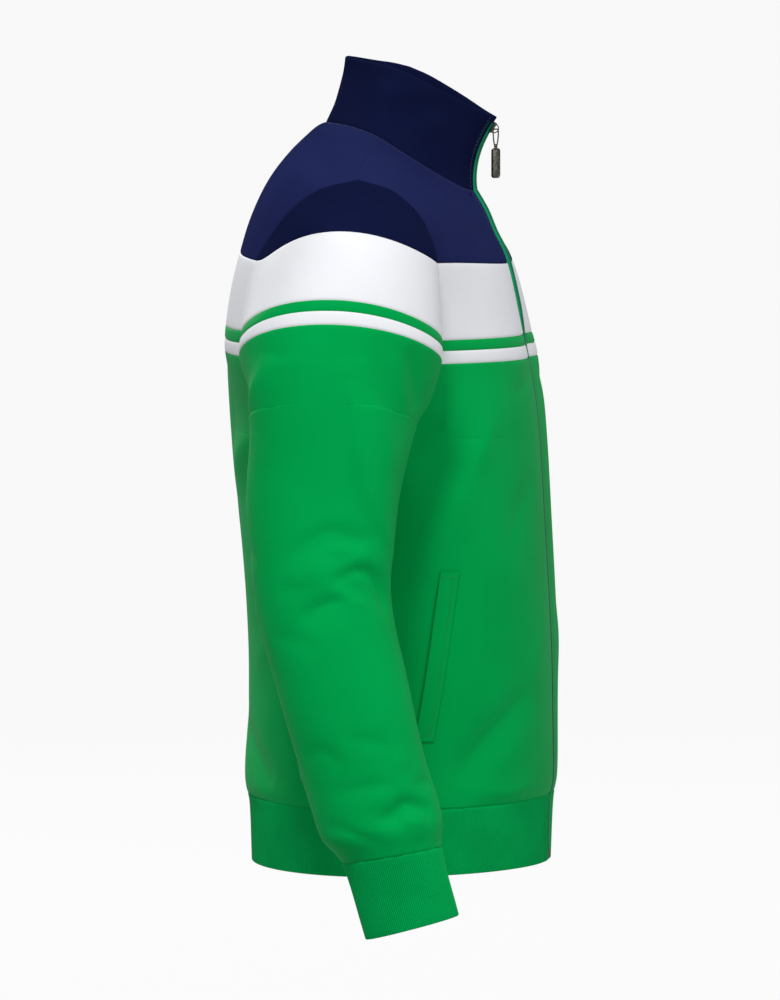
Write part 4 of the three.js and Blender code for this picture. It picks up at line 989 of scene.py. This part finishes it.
# Stand collar: doubled cloth with a rolled top edge and soft diagonal ripples
COLLAR = {"radius": 1.5, "height": 66, "half_length": 205}
COLLAR_CREASES = (
    (1.3, 9, (40, 52), (66, 34), (96, 10)), (-1.2, 8, (58, 58), (86, 38), (112, 16)),
    (1.2, 9, (82, 60), (108, 42), (132, 22)), (-1.1, 9, (104, 60), (130, 44), (152, 28)),
    (1.0, 10, (14, 44), (34, 30), (58, 10)), (-0.9, 9, (150, 56), (172, 44), (190, 30)),
    (0.8, 8, (170, 22), (186, 34), (198, 50)),
)
collar_shares = steps_between(COLLAR["half_length"], 3, near_end=False) / COLLAR["half_length"]
collar_levels = steps_between(COLLAR["height"], 3, near_end=False) / COLLAR["height"]
collar_base = collar_grid(collar_levels, collar_shares)
collar_normals = grid_normals(collar_base)
collar_run, collar_rise = runs_along(collar_base, 1), runs_along(collar_base, 0)
collar_grids = []
for side in ("right", "left"):
    offset = 0 if side == "right" else 7
    shift = sum(crease_shift(collar_run + offset, collar_rise, crease) for crease in COLLAR_CREASES)
    shift = shift * eased(collar_rise) * eased(collar_run) + groove(collar_rise, **COLLAR_GROOVE)
    shift = shift + pucker(collar_run, collar_rise, *PUCKER["collar"])
    whole = doubled(collar_base + collar_normals * shift[..., None], collar_normals, COLLAR["radius"])
    spots = np.stack([runs_along(whole, 1), runs_along(whole, 0)], axis=-1)
    flip = side == "right"
    strip, strip_spots = closing_edge(whole, COLLAR["radius"])
    collar_grids += [(on_side(whole, side), spots, flip), (on_side(strip, side), strip_spots, not flip)]
# The collar takes the navy painted darker, as painted shade
finished(joined_grids("cloth_collar", collar_grids), "navy_painted_shade", ["collar"])

# Pocket welts: sewn down at the front, top and foot, and open behind
POCKET_TOP = {"level": -383, "near": 173, "far": 190.5}
POCKET_FOOT = {"level": -533, "near": 196, "far": 212}
WELT = {"radius": 0.7, "sewn_lift": 1.5, "open_lift": 2.4, "rows": 60, "columns": 9}


def at_spots(grid, places, across, level):
    """Points of a panel at distances from its front edge and at levels."""
    rows = []
    for row, spots in zip(grid, places):
        rows.append([np.interp(across, spots[:, 0], column) for column in row.T])
    rows = np.array(rows)
    order = rows[:, 2]
    found = []
    for index in range(len(across)):
        heights = order[:, index]
        found.append([np.interp(level[index], heights, rows[:, axis, index]) for axis in range(3)])
    return np.array(found)


def welt_grid(side):
    grid, places, starts = halves["front", side]
    rows, spots = cut_of(grid, starts, "hem_seam", "main_top"), cut_of(places, starts, "hem_seam", "main_top")
    t = np.linspace(0, 1, WELT["rows"])
    across_share = np.linspace(0, 1, WELT["columns"])
    level = between(POCKET_FOOT["level"], POCKET_TOP["level"], t)
    near = between(POCKET_FOOT["near"], POCKET_TOP["near"], t)
    far = between(POCKET_FOOT["far"], POCKET_TOP["far"], t)
    columns = [at_spots(rows, spots, between(near, far, share), level) for share in across_share]
    surface = np.stack(columns, axis=1)
    normals = grid_normals(surface)
    open_share = across_share[None, :] * np.clip(np.minimum(t, 1 - t) / 0.12, 0, 1)[:, None]
    lift = WELT["sewn_lift"] + (WELT["open_lift"] - WELT["sewn_lift"]) * open_share**2
    return normals, surface + normals * lift[..., None]


for side in ("right", "left"):
    normals, raised = welt_grid(side)
    turned = np.swapaxes(doubled(np.swapaxes(raised, 0, 1), np.swapaxes(normals, 0, 1), WELT["radius"]), 0, 1)
    spots = np.stack([runs_along(turned, 1), runs_along(turned, 0)], axis=-1)
    front_edge = turned_edge(raised, normals, WELT["radius"], ())
    front_spots = np.stack([-runs_along(front_edge, 1), runs_along(front_edge, 0)], axis=-1)
    flip = side == "right"
    grids = [(on_side(turned, side), spots, flip), (on_side(front_edge, side), front_spots, not flip)]
    name = f"pocket_welt_{side}"
    finished(joined_grids("cloth_" + name, grids), "green", [name])

# Many small pieces of thread or coil, made by placing one shape many times


def capsule(length, across, deep, sides=6):
    """A small rounded bar along its first axis."""
    stations = np.array([-0.5, -0.32, 0.32, 0.5]) * length
    sizes = np.array([0.45, 1, 1, 0.45])
    turns = 2 * np.pi * np.arange(sides) / sides
    points = []
    for x, size in zip(stations, sizes):
        points += [(x, across * size * np.cos(a), deep * size * np.sin(a)) for a in turns]
    faces = []
    for ring in range(len(stations) - 1):
        for index in range(sides):
            beside = (index + 1) % sides
            low, high = ring * sides, (ring + 1) * sides
            faces.append((low + index, low + beside, high + beside, high + index))
    return np.array(points), faces, [tuple(reversed(range(sides))), tuple(range(3 * sides, 4 * sides))]


def placed_many(name, shape, centres, along, outward):
    """Copies of a shape at the centres, with its first axis along and its third outward."""
    points, sides, caps = shape
    along = along / np.linalg.norm(along, axis=1)[:, None]
    across = np.cross(outward, along)
    across /= np.linalg.norm(across, axis=1)[:, None]
    out = np.cross(along, across)
    frames = np.stack([along, across, out], axis=1)
    placed = np.einsum("pk,nkc->npc", points, frames) + centres[:, None]
    faces = []
    for copy in range(len(centres)):
        start = copy * len(points)
        faces += [tuple(corner + start for corner in face) for face in sides + caps]
    mesh = bpy.data.meshes.new(name)
    mesh.from_pydata((placed.reshape(-1, 3) * MM).tolist(), [], faces)
    mesh.shade_smooth()
    made = bpy.data.objects.new(name, mesh)
    bpy.context.collection.objects.link(made)
    return made


STITCH = {"pitch": 3.3, "length": 2.7, "radius": 0.3}


def along_path(points, normals, pitch):
    """Even places along a path: centres, directions and normals."""
    run = np.concatenate([[0], np.cumsum(np.linalg.norm(np.diff(points, axis=0), axis=1))])
    count = max(int(run[-1] / pitch), 1)
    wanted = (np.arange(count) + 0.5) * run[-1] / count
    read = [np.interp(wanted, run, column) for column in points.T]
    read_normals = [np.interp(wanted, run, column) for column in normals.T]
    centres = np.stack(read, axis=1)
    ahead = np.stack([np.interp(wanted + 0.5, run, column) for column in points.T], axis=1)
    behind = np.stack([np.interp(wanted - 0.5, run, column) for column in points.T], axis=1)
    normal = np.stack(read_normals, axis=1)
    return centres, ahead - behind, normal / np.linalg.norm(normal, axis=1)[:, None]


stitch_paths = {"green_thread": [], "navy_thread": [], "white_thread": []}


def stitch_along(look, points, normals):
    stitch_paths[look].append(along_path(points, normals, STITCH["pitch"]))


def column_at(grid, places, normals, distance):
    """The line that lies at a distance from a grid's first column, with its normals."""
    line, outward = [], []
    for row, spots, normal in zip(grid, places, normals):
        line.append([np.interp(distance, spots[:, 0], column) for column in row.T])
        outward.append([np.interp(distance, spots[:, 0], column) for column in normal.T])
    return np.array(line), np.array(outward)


for side in ("right", "left"):
    for part in ("front", "back"):
        grid, places, starts = halves[part, side]
        outward = grid_normals(grid) * (1 if part == "front" else -1)
        line, normals = column_at(grid, places, outward, TOPSTITCH)
        line, normals = on_side(line, side), on_side(normals, side)
        spans = [("neck_foot", "shoulder", "navy_thread")]
        if part == "front":
            spans = [("hem_seam", "main_top", "green_thread"), ("main_top", "stripe_top", "white_thread"),
                     ("stripe_top", "band_foot", "green_thread"), ("band_foot", "band_top", "white_thread"),
                     ("band_top", "shoulder", "navy_thread")]
        for first, last, look in spans:
            piece = slice(starts[first], starts[last] + 1)
            stitch_along(look, line[piece], normals[piece])
    normals, raised = welt_grid(side)
    top = raised + normals * 0.1
    for line, outward in ((top[2:-2, 2], normals[2:-2, 2]), (top[2, 1:-1], normals[2, 1:-1]),
                          (top[-3, 1:-1], normals[-3, 1:-1])):
        stitch_along("green_thread", on_side(line, side), on_side(outward, side))
    hem_levels = np.linspace(1, 0, 30)
    hem_row = body_grid("front", hem_levels, np.linspace(0, 1, 200))
    hem_spots = np.stack([runs_along(hem_row, 1), runs_along(hem_row, 0)], axis=-1)
    line, normals = column_at(hem_row, hem_spots, -grid_normals(hem_row), TOPSTITCH)
    stitch_along("green_thread", on_side(line + normals * RIB["height"], side), on_side(normals, side))
    collar_spots = np.stack([collar_run, collar_rise], axis=-1)
    line, normals = column_at(collar_base, collar_spots, collar_normals, TOPSTITCH)
    stitch_along("navy_thread", on_side(line[2:], side), on_side(normals[2:], side))

for look, paths in stitch_paths.items():
    centres, along, outward = (np.vstack(parts) for parts in zip(*paths))
    shape = capsule(STITCH["length"], STITCH["radius"], STITCH["radius"])
    finished(placed_many("stitches_" + look, shape, centres, along, outward), look)

# Zip: tapes behind the front edges, two rows of coil, and a ridge in front of the yoke and the collar
ZIP = {"rise": 2.4, "rise_from": -195, "rise_to": -150, "foot": 8, "top_margin": 1.5, "chain_margin": 5.9,
       "pitch": 1.3, "reach": 1.45, "coil": 0.5}
TAPE_FORM = ((0.7, -0.9, 1), (1.6, -0.6, 1), (2.8, -0.5, 0.95), (4.2, -0.7, 0.6), (5.4, -1.1, 0.3),
             (6.6, -1.7, 0.05), (9.5, -2.0, 0))

collar_line = collar_grid(np.linspace(0, 1, 40), np.array([0.0]))[:, 0]
front_line = np.vstack([EDGES["centre_front"].points, collar_line[1:]]) * (0, 1, 1)
front_run = np.concatenate([[0], np.cumsum(np.linalg.norm(np.diff(front_line, axis=0), axis=1))])
front_up = np.gradient(front_line, axis=0)
front_up /= np.linalg.norm(front_up, axis=1)[:, None]


def front_frames(run):
    """Points, upward and outward directions along the middle of the front, and how far the zip stands out."""
    point = np.stack([np.interp(run, front_run, column) for column in front_line.T], axis=1)
    up = np.stack([np.interp(run, front_run, column) for column in front_up.T], axis=1)
    up /= np.linalg.norm(up, axis=1)[:, None]
    out = np.stack([0 * run, -up[:, 2], up[:, 1]], axis=1)
    t = np.clip((point[:, 2] - ZIP["rise_from"]) / (ZIP["rise_to"] - ZIP["rise_from"]), 0, 1)
    return point, up, out, ZIP["rise"] * t * t * (3 - 2 * t)


def add_tape(side):
    run = np.arange(ZIP["foot"], front_run[-1] - ZIP["top_margin"], 3.0)
    point, _, out, rise = front_frames(run)
    columns = []
    for across, depth, share in TAPE_FORM:
        columns.append(point + out * (depth + rise * share)[:, None] + (across, 0, 0))
    grid = np.stack(columns, axis=1)
    spots = np.stack([runs_along(grid, 1), runs_along(grid, 0)], axis=-1)
    tape = joined_grids("cloth_zip_tape_" + side, [(on_side(grid, side), spots, side == "right")])
    finished(tape, "tape", ["zip_tape_" + side])


for side in ("right", "left"):
    add_tape(side)

coil_run = np.arange(ZIP["foot"] + 0.5, front_run[-1] - ZIP["chain_margin"], ZIP["pitch"] / 2)
point, up, out, rise = front_frames(coil_run)
turn = np.where(np.arange(len(coil_run)) % 2 == 0, 1.0, -1.0)[:, None]
coil_centres = point + out * (rise - 0.1)[:, None] + turn * (0.8, 0, 0)
coil_along = np.array([[1.0, 0, 0]]) + up * 0.12 * turn
coil = placed_many("coil_chain", capsule(2 * ZIP["reach"], ZIP["coil"], ZIP["coil"] + 0.15), coil_centres,
                   coil_along, out)
finished(coil, "coil", ["zip_chain"])

# Metal: the box at the zip's foot, the slider, the link and the bar


def add_rounded_box(whole, size, centre, radius, segments=3):
    part = bmesh.new()
    bmesh.ops.create_cube(part, size=1)
    bmesh.ops.scale(part, vec=size, verts=part.verts)
    bmesh.ops.bevel(part, geom=part.edges[:], offset=radius, segments=segments, affect="EDGES", profile=0.5)
    bmesh.ops.translate(part, vec=centre, verts=part.verts)
    held = bpy.data.meshes.new("held")
    part.to_mesh(held)
    part.free()
    whole.from_mesh(held)
    bpy.data.meshes.remove(held)


def add_tube(whole, path, sideways, in_plane, out_of_plane, closed, sides=14):
    """A tube along a flat path. sideways is the direction at right angles to the path's plane."""
    path = np.array(path, float)
    sideways = np.array(sideways, float)
    if closed:
        along = np.roll(path, -1, axis=0) - np.roll(path, 1, axis=0)
    else:
        along = np.gradient(path, axis=0)
    along /= np.linalg.norm(along, axis=1)[:, None]
    across = np.cross(along, sideways)
    rings = []
    for centre, direction in zip(path, across):
        turns = 2 * np.pi * np.arange(sides) / sides
        wide, high = direction * in_plane, sideways * out_of_plane
        rings.append([whole.verts.new(centre + wide * np.cos(a) + high * np.sin(a)) for a in turns])
    last = len(rings) if closed else len(rings) - 1
    for index in range(last):
        here, ahead = rings[index], rings[(index + 1) % len(rings)]
        for corner in range(sides):
            beside = (corner + 1) % sides
            whole.faces.new((here[corner], here[beside], ahead[beside], ahead[corner]))
    if not closed:
        whole.faces.new(list(reversed(rings[0])))
        whole.faces.new(rings[-1])


def placed_solid(name, whole, origin, tilt, turn, look, nodes, body="jacket"):
    """The finished piece at its place in mm, tilted about X and turned about Z, in degrees."""
    bmesh.ops.scale(whole, vec=(MM, MM, MM), verts=whole.verts)
    mesh = bpy.data.meshes.new(name)
    bmesh.ops.recalc_face_normals(whole, faces=whole.faces)
    whole.to_mesh(mesh)
    whole.free()
    mesh.shade_smooth()
    made = bpy.data.objects.new(name, mesh)
    bpy.context.collection.objects.link(made)
    mesh.transform(Matrix.Rotation(np.radians(turn), 4, "Z") @ Matrix.Rotation(np.radians(tilt), 4, "X"))
    mesh.transform(Matrix.Translation(Vector(origin) * MM))
    return finished(made, look, nodes, body)


def closed_curve(points, steps):
    """Points of a smooth closed curve."""
    loop = list(points)
    padded = smooth_curve([loop[-2], loop[-1], *loop, loop[0], loop[1]], steps)
    return padded[2 * steps : (2 + len(loop)) * steps]


SLIDER = {"from_top": 8, "width": 8, "height": 10, "plate": 1, "front": 0.8, "back": -2.6, "arch": 4}
PULL = {"turn": -48, "stand_off": 1.8, "wire": 0.65, "drop": 15.3, "width": 9, "length": 27, "thick": 3,
        "top": 1.5, "eye": 1.7, "eye_wire": 0.6, "rim": 0.85, "corner": 1.6}

seat_run = np.array([front_run[-1] - SLIDER["from_top"]])
point, up, out, rise = front_frames(seat_run)
seat = (point + out * rise[:, None])[0]
slider_tilt = np.degrees(np.arctan2(-up[0, 1], up[0, 2]))
hinge = seat + out[0] * (SLIDER["front"] + SLIDER["plate"] + PULL["stand_off"])

slider = bmesh.new()
for face, sign in ((SLIDER["front"], -1), (SLIDER["back"], 1)):
    middle = -face + sign * SLIDER["plate"] / 2
    add_rounded_box(slider, (SLIDER["width"], SLIDER["plate"], SLIDER["height"]), (0, middle, 0), 0.45)
    for x in (-3.5, 3.5):
        add_rounded_box(slider, (0.9, 0.9, 8.4), (x, -face - sign * 0.25, -0.6), 0.3)
add_rounded_box(slider, (3.8, 3.6, 2.6), (0, 0.9, 3.7), 0.3)
arch = [(0, -SLIDER["front"] - SLIDER["plate"] - SLIDER["arch"] * np.sin(a), SLIDER["arch"] * np.cos(a))
        for a in np.linspace(-0.15, np.pi + 0.15, 24)]
add_tube(slider, arch, (1, 0, 0), 0.5, 0.75, False)
placed_solid("metal_slider", slider, seat, slider_tilt, 0, "metal", ["zip_slider"])

link = bmesh.new()
outline = (
    (-1.9, 0), (1.9, 0), (2.8, -2), (2.5, -8), (1.5, -13.6), (0, -PULL["drop"]), (-1.5, -13.6),
    (-2.5, -8), (-2.8, -2),
)
add_tube(link, closed_curve([(x, 0, z) for x, z in outline], 8), (0, 1, 0), PULL["wire"], PULL["wire"], True)
placed_solid("metal_link", link, hinge, 0, PULL["turn"], "metal", ["pull_link"], "link")

bar = bmesh.new()
half, long, corner = PULL["width"] / 2 - PULL["rim"], PULL["length"] - 2 * PULL["rim"], PULL["corner"]
middle = -PULL["top"] - PULL["length"] / 2
add_rounded_box(bar, (2 * half + 0.4, 1.8, long + 0.4), (0, 0, middle), 0.4)
rim = []
for cx, cz, start in ((1, 1, 0), (-1, 1, 90), (-1, -1, 180), (1, -1, 270)):
    for a in np.radians(start + np.linspace(0, 90, 7)):
        rim.append((cx * (half - corner) + corner * np.cos(a), 0,
                    middle + cz * (long / 2 - corner) + corner * np.sin(a)))
add_tube(bar, rim, (0, 1, 0), PULL["rim"], PULL["thick"] / 2, True)
eye_turns = np.linspace(0, 2 * np.pi, 28, endpoint=False)
eye = [(0, PULL["eye"] * np.cos(a), PULL["eye"] * np.sin(a)) for a in eye_turns]
add_tube(bar, eye, (1, 0, 0), PULL["eye_wire"], PULL["eye_wire"], True)
eye_place = hinge - (0, 0, PULL["drop"])
placed_solid("metal_bar", bar, eye_place, 0, PULL["turn"], "metal", ["pull_bar"], "bar")

foot = bmesh.new()
add_rounded_box(foot, (11.2, 3.8, 7.6), (0, 0, 0), 0.7)
add_rounded_box(foot, (2.2, 0.8, 6.4), (0, -2.0, 0), 0.35)
point, up, out, _ = front_frames(np.array([4.1]))
foot_tilt = np.degrees(np.arctan2(-up[0, 1], up[0, 2]))
placed_solid("metal_box", foot, (point - out * 0.9)[0], foot_tilt, 0, "metal", ["zip_box"])

# Flat size of each sheet in m, read off the finished pieces: width, length, area where shaped, hold, carrier
CUTS = (
    ("front_yoke", 0.212, 0.195, 0.0262, "draped", ()),
    ("front_band", 0.209, 0.112, 0.014, "hung", ("front_yoke",)),
    ("front_stripe_green", 0.205, 0.0105, None, "hung", ("front_band",)),
    ("front_stripe_white", 0.207, 0.012, None, "hung", ("front_stripe_green",)),
    ("front_main", 0.29, 0.437, 0.109, "hung", ("front_stripe_white",)),
    ("back_yoke", 0.443, 0.237, 0.066, "draped", ()),
    ("back_band", 0.39, 0.118, 0.0256, "hung", ("back_yoke",)),
    ("back_stripe_green", 0.38, 0.012, None, "hung", ("back_band",)),
    ("back_stripe_white", 0.38, 0.0125, None, "hung", ("back_stripe_green",)),
    ("back_main", 0.504, 0.457, 0.191, "hung", ("back_stripe_white",)),
    ("sleeve_cap", 0.257, 0.126, 0.0117, "draped", ("front_yoke", "back_yoke")),
    ("sleeve_band", 0.343, 0.117, 0.0198, "hung", ("sleeve_cap",)),
    ("sleeve_stripe_green", 0.335, 0.011, None, "hung", ("sleeve_band",)),
    ("sleeve_stripe_white", 0.345, 0.013, None, "hung", ("sleeve_stripe_green",)),
    ("sleeve_main", 0.43, 0.556, 0.158, "hung", ("sleeve_stripe_white",)),
    ("cuff", 0.234, 0.142, None, "gathered", ("sleeve_main",)),
    ("hem_rib", 0.98, 0.127, None, "gathered", ("front_main", "back_main")),
    ("collar", 0.42, 0.14, None, "folded", ("front_yoke", "back_yoke")),
    ("pocket_welt", 0.02, 0.152, None, "folded", ("front_main",)),
    ("zip_tape", 0.0105, 0.67, None, "hung", ("front_yoke", "front_main")),
)


def pieces_of(name, side):
    """The cloth pieces of a name, on one side where there are two."""
    own = [f"cloth_{name}_{side}", f"cloth_{name}"]
    return [bpy.data.objects[made] for made in own if made in bpy.data.objects]


for name, width, length, area, held, rests in CUTS:
    declared = set()
    for side in ("right", "left"):
        for piece in pieces_of(name, side):
            if piece.name not in declared:
                declared.add(piece.name)

# Camera at the photograph's angle, a pale sweep of paper and soft studio light
VIEW_TURN = np.radians(7)
VIEW_DROP = np.radians(3)
bpy.context.scene.view_settings.view_transform = "Standard"
camera_data = bpy.data.cameras.new("camera")
camera_data.sensor_fit = "VERTICAL"
camera_data.sensor_height = 36
camera_data.lens = 320
camera_data.clip_end = 60
camera = bpy.data.objects.new("camera", camera_data)
camera.location = (-7.9466, -0.9755, 0.0911)
level = np.cos(VIEW_DROP)
looking = Vector((np.cos(VIEW_TURN) * level, np.sin(VIEW_TURN) * level, -np.sin(VIEW_DROP)))
camera.rotation_euler = looking.to_track_quat("-Z", "Y").to_euler()
bpy.context.collection.objects.link(camera)
bpy.context.scene.camera = camera

FLOOR_LEVEL = -0.95
PAPER_LIGHT = 0.44
PAPER_SEEN = 0.92


def sweep_floor():
    """A round pale floor. It is wide enough to fill the view from every side."""
    mesh = bpy.data.meshes.new("studio_floor")
    count = 64
    turns = [2 * np.pi * index / count for index in range(count)]
    radii = (0.01, 3, 6, 9, 11, 12.2, 12.9, 13.2, 13.2)
    heights = (0, 0, 0, 0, 0.05, 0.35, 1.0, 2.2, 9)
    points = [(r * np.cos(a), r * np.sin(a), FLOOR_LEVEL + h) for r, h in zip(radii, heights) for a in turns]
    faces = [tuple(range(count))]
    for ring in range(len(radii) - 1):
        for index in range(count):
            beside = (index + 1) % count
            low, high = ring * count, (ring + 1) * count
            faces.append((low + index, low + beside, high + beside, high + index))
    mesh.from_pydata(points, [], faces)
    mesh.shade_smooth()
    floor = bpy.data.objects.new("studio_floor", mesh)
    bpy.context.collection.objects.link(floor)
    paper, shader, links = new_material("paper")
    shader.inputs["Base Color"].default_value = (0.05, 0.05, 0.05, 1)
    shader.inputs["Roughness"].default_value = 0.9
    shader.inputs["Specular IOR Level"].default_value = 0
    shader.inputs["Emission Color"].default_value = (1, 1, 1, 1)
    seen = add_node(paper, "ShaderNodeLightPath", (-400, 0))
    glow = add_node(paper, "ShaderNodeMapRange", (-200, 0))
    glow.inputs["To Min"].default_value = PAPER_LIGHT
    glow.inputs["To Max"].default_value = PAPER_SEEN
    links.new(seen.outputs["Is Camera Ray"], glow.inputs["Value"])
    links.new(glow.outputs["Result"], shader.inputs["Emission Strength"])
    mesh.materials.append(paper)


sweep_floor()


def soft_light(name, place, size, power, aim=(0, 0, -0.3)):
    data = bpy.data.lights.new(name, "AREA")
    data.shape = "DISK"
    data.size = size
    data.energy = power
    lamp = bpy.data.objects.new(name, data)
    lamp.location = place
    lamp.rotation_euler = (Vector(aim) - Vector(place)).to_track_quat("-Z", "Y").to_euler()
    bpy.context.collection.objects.link(lamp)


soft_light("key", (-3.0, 0.2, 3.6), 1.0, 150)
soft_light("front_fill", (-2.4, -3.6, 0.6), 1.8, 40)
soft_light("far_fill", (3.4, 1.8, 1.6), 2.2, 60)

world = bpy.data.worlds.new("studio")
bpy.context.scene.world = world
world.use_nodes = True
world.node_tree.nodes["Background"].inputs["Color"].default_value = (1, 1, 1, 1)
world.node_tree.nodes["Background"].inputs["Strength"].default_value = 0.42
